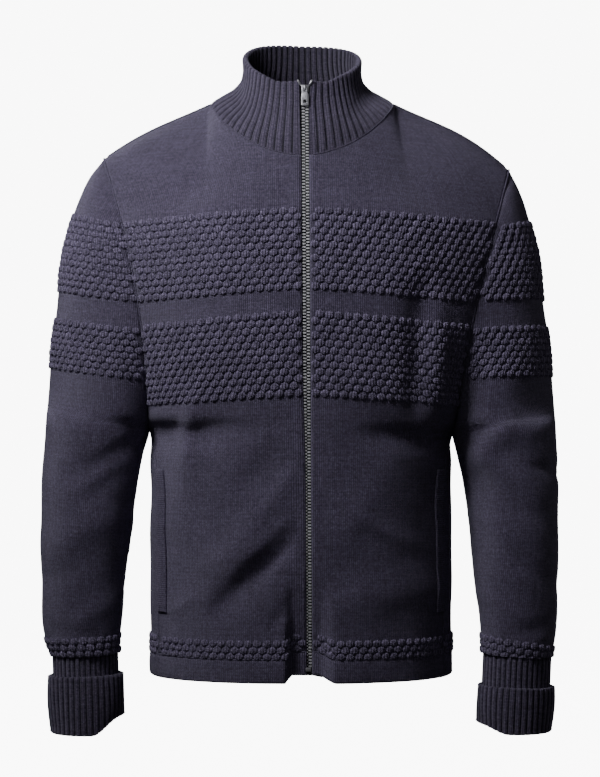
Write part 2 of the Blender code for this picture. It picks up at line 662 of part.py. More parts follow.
def sleeve_row(side, front, behind, height, outer_z, lean):
    """One row of a sleeve, from a point in front, round the outer side, to one behind; lean is 0 where the
    row leaves the seam square to the side and 1 where it closes on itself under the arm."""
    lines = SLEEVE_LINES[side]
    far = np.array([side * curve(lines, "outer", outer_z), curve(lines, "middle", outer_z), outer_z])
    depth = curve(lines, "depth", (height + outer_z) / 2)
    a = math.radians(90 * lean)
    halves = []
    for way, near in ((-1, front), (1, behind)):
        reach = abs(far[0] - near[0])
        first = (4 / 3 * depth * lean + 0.5 * reach * (1 - lean))
        quarter = far[1] + (near[1] - far[1]) * SLEEVE_QUARTER
        target = quarter * (1 - lean) + (far[1] + way * depth) * lean
        second = abs(8 * target - 4 * near[1] - 4 * far[1] - 3 * way * first * math.sin(a)) / 3
        start = near + np.array([side * math.cos(a), way * math.sin(a), 0]) * first
        end = far + [0, way * second, 0]
        start[2] = near[2] + (outer_z - near[2]) * 0.3
        halves.append(bezier((near, start, end, far), SLEEVE_COLUMNS // 2 + 1))
    row = np.concatenate([halves[0], halves[1][-2::-1]])
    share = (row[:, 0] - front[0]) / (far[0] - front[0])
    if lean == 1:
        row[:, 2] = front[2] + (outer_z - front[2]) * share
    return row


def sleeve_rows(side):
    rows, bobbles = [], []
    turns = arm_turns(side)
    crown = [arm_point(side, turn) for turn in (turns[2], turns[1], 0, -turns[1], -turns[2])]
    rows.append(along(crown, np.linspace(0, 1, SLEEVE_COLUMNS + 1)))
    bobbles.append(False)
    for turn in turns[3:]:
        front, behind = arm_point(side, turn), arm_point(side, -turn)
        lean = float(smooth((turn - 92) / 88)) if turn < 180 else 1.0
        rows.append(sleeve_row(side, front, behind, front[2], front[2] + SLEEVE_DROOP, lean))
        bobbles.append(in_bands(front[2], SLEEVE_BANDS))
    for z, raised, droop in zip(*(SLEEVE_LOWER[key] for key in ("z", "bobbles", "droop"))):
        lines = SLEEVE_LINES[side]
        near = np.array([side * curve(lines, "inner", z), curve(lines, "middle", z), z])
        rows.append(sleeve_row(side, near, near, z, z + droop, 1.0))
        bobbles.append(bool(raised))
    return np.array(rows), bobbles, len(turns) - 3


def make_sleeve(side):
    grid, bobbles, closed = sleeve_rows(side)
    turns = arm_turns(side)
    normals = grid_normals(grid, (side * 245.0, 0))
    joined = unit(normals[closed:, 0] + normals[closed:, -1])
    normals[closed:, 0] = normals[closed:, -1] = joined
    for c, turn in enumerate(np.linspace(turns[2], -turns[2], SLEEVE_COLUMNS + 1)):
        normals[0, c] = arm_normal(side, turn)
    for r, turn in enumerate(turns[3:], 1):
        normals[r, 0], normals[r, -1] = arm_normal(side, turn), arm_normal(side, -turn)
    normals[-3:, :, 2] = 0
    normals = unit(normals)
    shift = arm_across(side) * GAP / 2
    grid[0] += shift
    grid[1:closed, 0] += shift
    grid[1:closed, -1] += shift
    grid[closed:, 0] += shift
    grid[closed:, -1] = grid[closed:, 0]
    push = fold_push(grid, normals, SLEEVE_FOLDS, 0, side)
    push *= smooth(np.arange(len(grid)) / 3)[:, None]
    held = np.minimum(np.arange(SLEEVE_COLUMNS + 1), np.arange(SLEEVE_COLUMNS, -1, -1)) / 2
    push[:closed + 1] *= smooth(held)[None, :]
    outer = grid + normals * push[..., None]
    inner = outer - normals * CLOTH
    outer = outer + normals * np.array(bobbles, float)[:, None, None] * BOBBLE_RISE
    name = "sleeve_right" if side < 0 else "sleeve_left"
    wall(name, outer, inner, "knit", joined_from=closed)
    return grid, normals


# Collar

def rim_line():
    turns = np.concatenate([[0], np.arange(RIM_FIRST_TURN, 361 - RIM_FIRST_TURN, 5.0), [360]])
    a = np.radians(turns)
    depth = np.where(np.cos(a) > 0, RIM_FRONT, RIM_BACK)
    rise = RIM_SIDE_Z - (RIM_FRONT_Z + RIM_BACK_Z) / 2
    z = RIM_FRONT_Z + (RIM_BACK_Z - RIM_FRONT_Z) * (1 - np.cos(a)) / 2 + rise * np.sin(a) ** 2
    beside = np.minimum(turns, 360 - turns)
    z -= RIM_DIP * np.exp(-((beside - RIM_DIP_AT) / RIM_DIP_WIDTH) ** 2)
    line = np.stack([NECK_X - RIM_HALF * np.sin(a), -depth * np.cos(a), z], 1)
    middle = zip_x(RIM_FRONT_Z)
    line[0, 0], line[-1, 0] = middle - RIM_SLIT, middle + RIM_SLIT
    return line


def collar_surface(shares, height):
    """Points of the collar's outer form at one share of its height, without ribs."""
    base = along(neck_knots()[0], shares)
    rim = along(rim_line(), shares)
    a = 2 * math.pi * np.asarray(shares)
    front = np.where(np.cos(a) > 0, np.cos(a) ** 2, 0)
    back = np.where(np.cos(a) < 0, np.cos(a) ** 2, 0)
    come_in = (front * curve(COLLAR_RISE, "front", height) + back * curve(COLLAR_RISE, "back", height)
               + np.sin(a) ** 2 * curve(COLLAR_RISE, "side", height))
    points = base + (rim - base) * come_in[:, None]
    points[:, 2] = base[:, 2] + (rim[:, 2] - base[:, 2]) * height
    edge = ZIP_EDGE + (RIM_SLIT - ZIP_EDGE) * smooth((height - 0.72) / 0.28)
    for end, side in ((0, -1), (-1, 1)):
        target = zip_x(points[end, 2]) + side * edge
        near = smooth(1 - np.abs(points[:, 0] - points[end, 0]) / 30) * (points[:, 1] < 0)
        points[:, 0] += (target - points[end, 0]) * near
    return points


def collar_normals(shares, height):
    step = 0.002
    here = collar_surface(shares, height)
    above = collar_surface(shares, min(height + step * 5, 1.0))
    below = collar_surface(shares, max(height - step * 5, 0.0))
    across = np.gradient(here, axis=0)
    normals = unit(np.cross(across, above - below))
    away = here - [NECK_X, 0, 0]
    away[:, 2] = 0
    normals *= np.sign((normals * away).sum(1).sum())
    normals[0, 0] = normals[-1, 0] = 0
    if height == 0:
        knots, fixed = neck_knots()
        walked = np.concatenate([[0], np.cumsum(np.linalg.norm(np.diff(knots, axis=0), axis=1))])
        at = np.asarray(shares) * walked[-1]
        normals = np.stack([np.interp(at, walked, fixed[:, k]) for k in range(3)], 1)
    return unit(normals)


def rib_shares(ribs):
    """Where the points of the ribs stand along a row, with each one's depth; it ends on a crest."""
    places = [(i + phase) / ribs for i in range(ribs) for phase in RIB_PHASES]
    depths = [-1.0 if phase == 0 else 0.0 for _ in range(ribs) for phase in RIB_PHASES]
    return np.array(places), np.array(depths)


def collar_thickness(shares):
    beside = np.minimum(shares, 1 - shares)
    return COLLAR_EDGE_THICK + (COLLAR_THICK - COLLAR_EDGE_THICK) * smooth(beside / 0.05)


def make_collar():
    shares, depths = rib_shares(COLLAR_RIBS)
    shares, depths = np.append(shares, 1.0), np.append(depths, 0.0)
    depths[0] = 0.0
    plain = np.linspace(0, 1, COLLAR_RIBS + 1)
    sections = []
    for height in COLLAR_OUTER_ROWS:
        points, normals = collar_surface(shares, height), collar_normals(shares, height)
        relief = 0 if height == 0 else RIB_DEPTH
        points = points + normals * (depths * relief)[:, None]
        if height == 0:
            points[:, 2] += GAP
        sections.append(points)
    crest = collar_surface(plain, 1.0) - collar_normals(plain, 1.0) * collar_thickness(plain)[:, None] / 2
    crest[:, 2] += RIM_CREST
    sections.append(crest)
    for height in COLLAR_INNER_ROWS:
        thick = collar_thickness(plain) if height else np.full(len(plain), CLOTH)
        points = collar_surface(plain, height) - collar_normals(plain, height) * thick[:, None]
        points[:, 2] += 0 if height else GAP
        sections.append(points)
    lofted("collar", sections, "rib_knit", False, capped_at=len(COLLAR_OUTER_ROWS) + 1)


# Cuffs

def cuff_ring(cuff, side, radius, height, count):
    """A ring of a cuff; its lowest rows rise towards the inner side as the fold does."""
    down = (SLEEVE_END_Z - height) / (SLEEVE_END_Z - cuff["fold_z"])
    a = np.arange(count) * 2 * math.pi / count
    inward = (1 - np.cos(a)) / 2
    x = cuff["x"] - side * cuff["lean"] * down + side * radius * np.cos(a)
    y = cuff["y"] + radius * CUFF_DEEPER * np.sin(a)
    rise = CUFF_SEAM_RISE * inward * (1 - down) + cuff["lift"] * smooth((inward - 0.6) / 0.4) * smooth(
        (down - 0.6) / 0.4)
    return np.stack([x, y, height + rise], 1)


def ribbed_ring(cuff, side, radius, height):
    places, depths = rib_shares(CUFF_RIBS)
    ring = cuff_ring(cuff, side, radius, height, 3600)
    points = ring[np.round(places * 3600).astype(int) % 3600]
    middle = np.array([cuff["x"], cuff["y"], 0])
    away = points - middle
    away[:, 2] = 0
    return points + unit(away) * (depths * RIB_DEPTH)[:, None]


def make_cuff(side):
    cuff = CUFFS[side]
    top = SLEEVE_END_Z - GAP
    tube, turned, edge, fold = (cuff[key] for key in ("tube", "turned", "edge_z", "fold_z"))
    pocket = fold + 2 * CUFF_WALL
    lining, back = tube - CUFF_WALL, turned - CUFF_WALL - RIB_DEPTH

    def plain(radius, height):
        return cuff_ring(cuff, side, radius, height, CUFF_RIBS)

    sections = [
        ribbed_ring(cuff, side, tube, top),
        ribbed_ring(cuff, side, tube, edge - CUFF_CLEAR),
        plain(tube - RIB_DEPTH, pocket),
        plain(back, pocket),
        plain(back, edge),
        ribbed_ring(cuff, side, turned, edge - CUFF_CLEAR),
        ribbed_ring(cuff, side, turned - 0.6, fold + 3.0),
        plain((turned + lining) / 2, fold),
        plain(lining, fold + 2.0),
        plain(lining, top),
    ]
    lofted("cuff_right" if side < 0 else "cuff_left", sections, "rib_knit", True)


# Hem bands

def make_hem_band(name, outer, inner):
    """A doubled band under a panel's last row of points."""
    top = (outer + inner) / 2
    away = unit(outer - inner)
    drop = HEM_Z - HEM_SEAM_Z
    half = HEM_BAND_THICK / 2
    profile = columns("out down", [
        (half - 0.9, 0.0), (half, 0.2), (half, 0.6), (half - 0.8, 0.95), (0.0, 1.0),
        (-half + 0.8, 0.95), (-half, 0.6), (-half, 0.2), (-half + 0.9, 0.0),
    ])
    sections = []
    for out, down in zip(profile["out"], profile["down"]):
        section = top + away * out
        section[:, 2] += drop * down - GAP
        sections.append(section)
    lofted(name, sections, "knit", False, capped_at=5)


# What lies on a panel

def make_welt(side, outer, normals):
    """A pocket welt on a front, beside its side seam."""
    heights = outer[:, -1, 2]
    width = np.linalg.norm(outer[-5, -1] - outer[-5, -2])
    shares = PANEL_COLUMNS - np.array([WELT_WIDTH, WELT_WIDTH / 2, WELT_INSET]) / width
    front, back = [], []
    for z in WELT_ROWS:
        row = float(np.interp(-z, -heights, np.arange(len(heights))))
        points = np.array([on_grid(outer, row, c) for c in shares])
        out = unit(np.array([on_grid(normals, row, c) for c in shares]))
        back.append(points + out * WELT_LIFT)
        front.append(points + out * (WELT_LIFT + WELT_THICK))
    wall("welt_right" if side < 0 else "welt_left", np.array(front), np.array(back), "knit")


# Zip

def zip_stations(side, inner, normals):
    """Stations of one zip half from hem to rim: a point on the inner face at the knitted edge, the way the
    tape runs from it, and the outward normal."""
    stations = []
    low = inner[-1, 0] + [0, 0, TAPE_END_Z - inner[-1, 0, 2]]
    way = unit(inner[-1, 1] - inner[-1, 0])
    stations.append((low, way, normals[-1, 0], HEM_TAPE_STEP))
    for r in range(len(inner) - 1, -1, -1):
        way = unit(inner[r, 1] - inner[r, 0])
        step = HEM_TAPE_STEP if r == len(inner) - 1 else PANEL_TAPE_STEP
        stations.append((inner[r, 0], way, unit(normals[r, 0] * [0, 1, 1]), step))
    plain = np.linspace(0, 1, COLLAR_RIBS + 1)
    numbers = [0, 2] if side < 0 else [-1, -3]
    for height in COLLAR_INNER_ROWS[-2::-1]:
        around, out = collar_surface(plain, height), collar_normals(plain, height)
        points = (around - out * collar_thickness(plain)[:, None])[numbers]
        stations.append((points[0], unit(points[1] - points[0]), out[numbers[0]], COLLAR_TAPE_STEP))
    return stations


def station_at(stations, z):
    """A station between two others, at a height."""
    heights = [station[0][2] for station in stations]
    place = np.interp(z, heights, np.arange(len(heights)))
    i = min(int(place), len(stations) - 2)
    t = place - i
    point, way, out, step = (stations[i][k] * (1 - t) + stations[i + 1][k] * t for k in range(4))
    return point, unit(way), unit(out), step


def make_tape(side, stations):
    front, back = [], []
    slider_low = SLIDER_Z - SLIDER_LONG / 2 - SLIDER_MOUTH
    top = [station_at(stations, slider_low - 1.0), station_at(stations, slider_low), stations[-1]]
    lifted = stations[-1][0] + unit(stations[-1][0] - stations[-2][0]) * TAPE_ABOVE
    rows = [station for station in stations if station[0][2] < slider_low - 1.5] + top
    rows.append((lifted, *stations[-1][1:]))
    inner_edges = [TAPE_INNER] * (len(rows) - 3) + [SLIDER_POST + GAP, RIM_TAPE_INNER, RIM_TAPE_INNER + 0.5]
    for (point, way, out, step), inner_edge in zip(rows, inner_edges):
        middle = zip_x(point[2])
        edge = point - out * (GAP + step)
        near = edge + [middle + side * inner_edge - point[0], 0, 0]
        line = [near, edge, edge + way * TAPE_WIDTH] if inner_edge < ZIP_EDGE else [
            near, near + way * 3, edge + way * TAPE_WIDTH]
        front.append(line)
        back.append([place - out * TAPE_THICK for place in line])
    wall("zip_tape_right" if side < 0 else "zip_tape_left", np.array(front), np.array(back), "zip_tape")


def make_teeth(side, stations):
    """The row of teeth on one tape, as a bar between the knitted edges."""
    low, high = TEETH_END_Z, SLIDER_Z - SLIDER_LONG / 2 - SLIDER_MOUTH
    rows = [station_at(stations, low)]
    rows += [station for station in stations if low + 2 < station[0][2] < high - 2]
    rows.append(station_at(stations, high))
    front, back = [], []
    for point, _, out, step in rows:
        middle = zip_x(point[2])
        edges = [point + [middle + side * x - point[0], 0, 0] for x in (TEETH_INNER, TEETH_OUTER)]
        back.append([edge + out * (TEETH_LIFT - step) for edge in edges])
        front.append([edge + out * (TEETH_THICK - step) for edge in edges])
    wall("zip_teeth_right" if side < 0 else "zip_teeth_left", np.array(front), np.array(back), "zip_metal")


def prism(name, outline, origin, axes, low, high, kind):
    """An outline in the first two of three axes, from low to high along the third."""
    points = [origin + axes[0] * a + axes[1] * b + axes[2] * c for c in (low, high) for a, b in outline]
    n = len(outline)
    faces = [list(range(n))[::-1], list(range(n, 2 * n))]
    faces += [[i, (i + 1) % n, (i + 1) % n + n, i + n] for i in range(n)]
    mesh = bpy.data.meshes.new(name)
    mesh.from_pydata([tuple(p * MM for p in point) for point in points], [], faces)
    work = bmesh.new()
    work.from_mesh(mesh)
    bmesh.ops.recalc_face_normals(work, faces=work.faces)
    work.to_mesh(mesh)
    work.free()
    mesh.materials.append(material(kind))
    made = bpy.data.objects.new(name, mesh)
    bpy.context.scene.collection.objects.link(made)
    return made


def rectangle(a_low, a_high, b_low, b_high):
    return [(a_low, b_low), (a_high, b_low), (a_high, b_high), (a_low, b_high)]


def combine(target, other, operation):
    """Joins a helper solid to a piece, or cuts it out; the helper itself isn't part of the model."""
    modifier = target.modifiers.new(other.name, "BOOLEAN")
    modifier.object = other
    modifier.operation = operation
    other.hide_render = True
    other.display_type = "WIRE"


def zip_frame(z):
    """Middle of the zip at a height on the collar, with the directions across, along and out."""
    height = (z - neck_line(0)[2]) / (RIM_FRONT_Z - neck_line(0)[2])
    plain = np.linspace(0, 1, COLLAR_RIBS + 1)
    point = collar_surface(plain, height)[0]
    out = collar_normals(plain, height)[0]
    across = np.array([1.0, 0, 0])
    return np.array([zip_x(z), point[1], point[2]]), across, unit(np.cross(out, across)), out


def make_slider():
    origin, across, along_zip, out = zip_frame(SLIDER_Z)
    wide, post = SLIDER_WIDE / 2, SLIDER_POST
    front, back = SLIDER_PLATE / 2, -SLIDER_PLATE / 2
    rear = -(COLLAR_EDGE_THICK + GAP + COLLAR_TAPE_STEP + TAPE_THICK + SLIDER_TAPE_CLEAR)
    last = rear - SLIDER_REAR_PLATE
    profile = [(-wide, front), (wide, front), (wide, back), (post, back), (post, rear), (wide, rear),
               (wide, last), (-wide, last), (-wide, rear), (-post, rear), (-post, back), (-wide, back)]
    half = SLIDER_LONG / 2
    slider = prism("slider", profile, origin, (across, out, along_zip), -half, half, "zip_metal")
    bail = prism("slider_bail_shape", BAIL_ARCH, origin, (along_zip, out, across), -BAIL_WIDE / 2,
                 BAIL_WIDE / 2, "zip_metal")
    combine(slider, bail, "UNION")
    return origin + out * PULL_AXIS_OUT, across, out


def make_pull_tab(axis, across, out):
    """Pull tab, hanging on the slider's bail and lying against the collar."""
    end = zip_frame(SLIDER_Z - PULL_LONG)
    rest_on = end[0] + end[3] * PULL_CLEAR
    down = unit((rest_on - axis) * [0, 1, 1])
    face = unit(np.cross(down, across))
    half = PULL_THICK / 2
    low, end_half = PULL_LONG - PULL_CORNER, PULL_HALF - PULL_CORNER
    right = [(PULL_NECK, -half), (PULL_NECK, PULL_NECK_LONG), (PULL_HALF, PULL_SHOULDER_AT), (PULL_HALF, low),
             (end_half, PULL_LONG)]
    outline = right + [(-a, b) for a, b in right[::-1]]
    tab = prism("pull_tab", outline, np.zeros(3), (across, down, face), -half, half, "zip_metal")
    tab.location = axis * MM
    bail_half, bail_low = PULL_BAIL_HOLE
    hole_half, hole_top, hole_low = PULL_HOLE
    for name, hole in (("bail_hole", rectangle(-bail_half, bail_half, half, bail_low)),
                       ("square_hole", rectangle(-hole_half, hole_half, hole_top, hole_low))):
        cutter = prism(name, hole, axis, (across, down, face), -2 * PULL_THICK, 2 * PULL_THICK, "zip_metal")
        combine(tab, cutter, "DIFFERENCE")


def make_stops(stations):
    origin, across, along_zip, out = zip_frame(SLIDER_Z)
    low = SLIDER_LONG / 2 + GAP
    for side, name in ((-1, "top_stop_right"), (1, "top_stop_left")):
        edges = sorted(side * reach for reach in TOP_STOP_SPAN)
        prism(name, rectangle(*edges, low, low + TOP_STOP_LONG), origin, (across, along_zip, out),
              *TOP_STOP_DEPTH, "zip_metal")
    point, _, out, step = station_at(stations, TEETH_END_Z)
    origin = np.array([zip_x(TEETH_END_Z), point[1], TEETH_END_Z])
    outline = rectangle(-BOTTOM_STOP_HALF, BOTTOM_STOP_HALF, -GAP - BOTTOM_STOP_LONG, -GAP)
    low = TEETH_LIFT - step
    prism("bottom_stop", outline, origin, (across, np.array([0, 0, 1.0]), np.array([0, -1.0, 0])), low,
          low + BOTTOM_STOP_THICK, "zip_metal")


def build():
    fronts = {side: make_front(side) for side in (-1, 1)}
    back = make_back()
    for side, name in ((-1, "right"), (1, "left")):
        make_sleeve(side)
        make_cuff(side)
        outer, inner, normals, _ = fronts[side]
        make_hem_band("hem_front_" + name, outer[-1], inner[-1])
        make_welt(side, outer, normals)
        stations = zip_stations(side, inner, normals)
        make_tape(side, stations)
        make_teeth(side, stations)
    make_hem_band("hem_back", back[0][-1], back[1][-1])
    make_collar()
    make_stops(stations)
    make_pull_tab(*make_slider())


build()
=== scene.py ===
"""Zip-up cardigan, filled out as when worn: the looks of each knitted piece and of the zip.

Sizes in the tables are millimetres and meshes are in metres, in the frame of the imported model.
"""
import math

import bmesh
import bpy
import numpy as np
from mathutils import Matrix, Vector


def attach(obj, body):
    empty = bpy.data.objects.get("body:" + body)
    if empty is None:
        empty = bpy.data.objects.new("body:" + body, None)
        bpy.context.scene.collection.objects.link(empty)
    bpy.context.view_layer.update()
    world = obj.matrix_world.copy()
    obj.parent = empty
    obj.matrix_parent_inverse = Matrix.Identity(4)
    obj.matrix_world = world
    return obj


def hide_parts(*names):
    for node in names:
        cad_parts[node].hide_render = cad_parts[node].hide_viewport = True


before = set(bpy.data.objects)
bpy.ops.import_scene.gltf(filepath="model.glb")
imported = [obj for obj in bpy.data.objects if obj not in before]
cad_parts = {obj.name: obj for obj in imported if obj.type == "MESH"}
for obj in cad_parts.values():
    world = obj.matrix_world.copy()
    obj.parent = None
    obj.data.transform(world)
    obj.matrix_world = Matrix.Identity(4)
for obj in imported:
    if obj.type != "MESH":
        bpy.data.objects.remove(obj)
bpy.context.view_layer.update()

MM = 0.001
GAP = 0.3  # between pieces at a seam
CLOTH = 2.2  # knitted wall
HEM_BAND_THICK = 4.2  # doubled knit
COLLAR_THICK = 6.4  # doubled rib
COLLAR_EDGE_THICK = 2.8  # pressed flat beside the zip
RIB_DEPTH = 1.3
COLLAR_RIBS = 60
CUFF_RIBS = 38
HEM_Z, HEM_SEAM_Z = -652.0, -626.0
SLEEVE_END_Z, CUFF_SEAM_RISE = -631.0, 4.0  # outer side of the cuff seam, and its rise to the inner side
TAPE_WIDTH, TAPE_THICK, TAPE_INNER, RIM_TAPE_INNER = 12.0, 1.0, 0.25, 3.6
TAPE_END_Z = -644.5
TAPE_LAP = 1.0  # how far one tape lies behind the other, so that the closed zip lets no light through
PANEL_TAPE_STEP, HEM_TAPE_STEP, COLLAR_TAPE_STEP = 0.6, 0.8, 0.8  # more room behind a curving wall
TEETH_THICK, TEETH_END_Z = 2.1, -636.0
TOOTH_PITCH, TOOTH_FORWARD, TOOTH_ASIDE = 3.53, 0.6, 2.05  # aside: from the zip's middle line to a tooth's
TOOTH_LONG, TOOTH_HIGH = 3.7, 1.8
SLIDER_Z, SLIDER_LONG = 15.5, 8.6
METAL_EDGE = 0.28  # how far in the edges of slider, pull tab and bottom stop are rounded
SLIDER_MOUTH = 2.0  # from the slider down to the closed teeth and the parting of the tapes
SLIDER_LOW = SLIDER_Z - SLIDER_LONG / 2 - SLIDER_MOUTH
ZIP_TOP_X, ZIP_BOTTOM_X = -1.4, 2.5
LAP, LAP_FROM_Z = 2.6, -280.0  # how far the wearer's right edge laps the zip low down
ZIP_EDGE = 4.3  # from the zip's middle line to each knitted edge
FRONT_FULLNESS, SIDE_FULLNESS = 0.4, 0.36  # how square a row of the body is, near the zip and near the side
BACK_ROW_RISE = 3.0  # a row of the back is this much higher in the middle
RECESS, RECESS_LIFT, RECESS_TOP_Z, RECESS_HALF = 19.0, 8.5, -510.0, 26.0  # the hem is drawn in at the zip
ARM_TURN_TOP, ARM_TURN_PIT = 36, 86  # how far a panel has turned from the front at the armhole seam, degrees
SHOULDER_BOW = {-1: 5.0, 1: 9.0}  # how much the shoulder seam rises over a straight line
WIDEST_Y, SIDE_WRAP = 4.0, (7.0, 14.0, 16.0)  # where the back is widest, and how it rounds to the side seam
PANEL_STEP = 4.6  # between the rows of a panel or sleeve
PANEL_COLUMNS = 60  # of a front, half of them under the neck seam; the back has twice as many
SLEEVE_COLUMNS = 80
SLEEVE_MIDDLE_X = 245.0
SLEEVE_QUARTER = 0.73  # how much of its depth a sleeve row has kept half way out
NECK_X, NECK_HALF, NECK_FRONT, NECK_BACK = -4.5, 106.0, 100.0, 80.0
NECK_SIDE_Z, NECK_FRONT_DROP, NECK_BACK_RISE = 6.0, 67.0, 2.0
NECK_DROP_POWER = 1.55
RIM_HALF, RIM_FRONT, RIM_BACK = 69.0, 77.0, 66.0
RIM_FRONT_Z, RIM_SIDE_Z, RIM_BACK_Z = 21.0, 55.0, 78.0
RIM_TILT = 5.0  # rise of the rim behind the wearer's right
RIM_CREST = 2.4  # rounded edge above the rim line
RIM_DIP, RIM_DIP_AT, RIM_DIP_WIDTH = 3.0, 24.0, 11.0  # beside the zip: how deep, and degrees from the front
RIM_SLIT = 6.0  # from the zip's middle line to each edge at the rim
NECK_BLEND = 15  # degrees from the front over which the neck seam comes to the zip
RIM_FIRST_TURN = 10  # degrees from the front to the rim line's first point beyond the slit
WELT_WIDTH, WELT_THICK, WELT_INSET, WELT_LIFT = 19.5, 1.3, 1.0, 0.6
WELT_ENDS = (-415, -578)


def columns(names, rows):
    """A table as a dictionary of named columns; the first one is what the others depend on."""
    return dict(zip(names.split(), np.array(rows, float).T))


TORSO = columns("z centre half front back", [
    (-652, -6, 174, 121, 118),
    (-600, -6, 174, 121, 117),
    (-500, -6, 175, 120, 115),
    (-430, -6, 174, 121, 115),
    (-369, -6, 175, 125, 118),
    (-300, -2, 180, 130, 124),
    (-213, 0, 184, 131, 128),
    (-166, 0, 184, 128, 127),
    (-120, 0, 184, 120, 122),
    (-61, 0, 184, 102, 110),
])
SIDE_SEAM = columns("z x y turn", [
    (-652, 162, -46, 61),
    (-430, 163, -46, 61),
    (-395, 168, -30, 72),
    (-369, 174, 0, 86),
])
ARMHOLE = {  # shoulder tip, underarm, and how far the seam reaches forward and back
    -1: dict(tip=(-235, 8, -57), pit=(-181, 0, -369), front=76, back=82, bow=15),
    1: dict(tip=(236, 8, -70), pit=(169, 0, -376), front=76, back=82, bow=8),
}
TOP_ANGLES = (0, 12, 25, 40, 52)  # stations round the top of an armhole, degrees from its tip
SEAM_STATIONS = (-133.5, -135, -180, -225, -226.5, -253.5, -255, -284, -313, -314.5, -341, -342.5)
PIT_STATION = 11  # last station above the underarm point
LOWER_ROWS = columns("z bobbles", [
    (-400, 0), (-440, 0), (-490, 0), (-545, 0), (-603, 0), (-604.5, 1), (-626, 1),
])
PANEL_DROOP = columns("side droop", [  # how much lower a row is at the side than at the zip
    (-652, 0), (-369, 6), (-341, 12), (-255, 15), (-226, 13), (-134, 13), (-117, 14),
])
SLEEVE_LINES = {
    -1: columns("z outer inner depth middle", [
        (-631, 294, 216, 41, -14), (-603, 303, 214, 45, -14), (-545, 305, 208.5, 51, -12),
        (-487, 305, 201, 57, -9), (-436, 304.5, 195, 62, -7), (-399, 303, 188, 65, -5),
        (-369, 302, 181.4, 67, -3), (-348, 300, 181, 69, -2), (-290, 297, 187, 75, 0),
        (-232, 289, 194, 79, 2), (-178, 283, 203, 78, 4), (-139, 274, 212, 72, 5),
        (-111, 265, 220, 60, 6), (-93, 258, 226, 52, 6), (-74, 248, 231, 38, 7), (-57, 235, 235, 20, 8),
    ]),
    1: columns("z outer inner depth middle", [
        (-631, 284, 203, 41, -14), (-603, 288, 202, 45, -14), (-566, 290, 197, 49, -13),
        (-492, 291, 188, 57, -9), (-436, 291, 181, 62, -7), (-399, 290, 174, 65, -5),
        (-376, 289, 169.4, 67, -3), (-348, 287, 171, 69, -2), (-288, 284, 183, 75, 0),
        (-232, 277, 196, 79, 2), (-176, 270, 212, 78, 4), (-139, 262, 222, 70, 5),
        (-121, 256, 228, 60, 6), (-100, 250, 233, 48, 6), (-86, 243, 235, 36, 7), (-70, 236, 236, 20, 8),
    ]),
}
SLEEVE_DROOP = 14  # how much lower a row of the sleeve is at the armhole seam than at its outer side
SLEEVE_LOWER = columns("z bobbles droop", [  # by height at the inner side
    (-400, 0, 12), (-440, 0, 10), (-490, 0, 6), (-545, 0, 2), (-603, 0, -4), (-604.5, 1, -4), (-627, 1, -4),
])
COLLAR_RISE = columns("share front side back", [
    (0.0, 0.0, 0.0, 0.0),
    (0.08, 0.05, 0.14, 0.12),
    (0.2, 0.14, 0.42, 0.33),
    (0.35, 0.3, 0.76, 0.58),
    (0.55, 0.56, 0.97, 0.84),
    (0.8, 0.84, 1.02, 0.98),
    (1.0, 1.0, 1.0, 1.0),
])
CUFFS = {
    -1: dict(x=-254.5, y=-14, tube=37.4, turned=43.0, edge_z=-653, fold_z=-719, lean=2.5, lift=20),
    1: dict(x=243.5, y=-14, tube=39.0, turned=43.8, edge_z=-665.5, fold_z=-717.5, lean=4.0, lift=10),
}
CUFF_WALL, CUFF_DEEPER = 2.3, 1.04
SIDES = ((-1, "right"), (1, "left"))  # of the wearer
FOLDS = columns("x1 z1 x2 z2 width out behind", [
    (-122, -340, -146, -480, 18, 5, 0),
    (-28, -430, -112, -560, 20, 6, 0),
    (-34, -400, -64, -425, 16, -4, 0),
    (-24, -500, -92, -568, 16, -5, 0),
    (128, -210, 124, -350, 15, -7, 0),
    (148, -230, 142, -345, 14, 5, 0),
    (40, -560, 140, -548, 20, 4, 0),
    (96, -400, 30, -500, 24, 4, 0),
    (-90, -380, -30, -470, 24, 6, 1),
    (100, -390, 40, -500, 22, 6, 1),
    (-130, -520, -60, -580, 22, 5, 1),
    (120, -250, 128, -360, 18, -6, 1),
    (-125, -240, -130, -355, 18, -6, 1),
    (0, -80, 0, -230, 40, -5, 1),
])
SLEEVE_FOLDS = columns("side x1 z1 x2 z2 width out behind", [
    (-1, -205, -385, -262, -420, 14, -5, 0),
    (-1, -222, -470, -286, -500, 16, 4, 0),
    (1, 235, -358, 196, -400, 14, 6, 0),
    (1, 200, -430, 262, -468, 14, -5, 0),
    (1, 262, -412, 289, -420, 8, -4, 0),
    (-1, -205, -400, -280, -450, 16, -6, 1),
    (1, 200, -400, 270, -455, 16, -6, 1),
])


def distances(line):
    """How far along a polyline each of its points is."""
    return np.concatenate([[0], np.cumsum(np.linalg.norm(np.diff(line, axis=0), axis=1))])


def interpolate(at, places, values):
    return np.stack([np.interp(at, places, values[:, k]) for k in range(3)], 1)


def hermite(values, tangents, i, span, t):
    """A smooth curve through values with these tangents, at share t of the span after place i."""
    return (values[i] * (1 + 2 * t) * (1 - t) ** 2 + values[i + 1] * t * t * (3 - 2 * t)
            + span * t * (1 - t) * (tangents[i] * (1 - t) - tangents[i + 1] * t))


def from_edges(count):
    """How many places each of a row's places is from the nearer end."""
    return np.minimum(np.arange(count), np.arange(count)[::-1])


def sided(name, side):
    return name + ("_right" if side < 0 else "_left")


def uv_grid(across, down):
    return np.stack(np.meshgrid(across, down), -1)


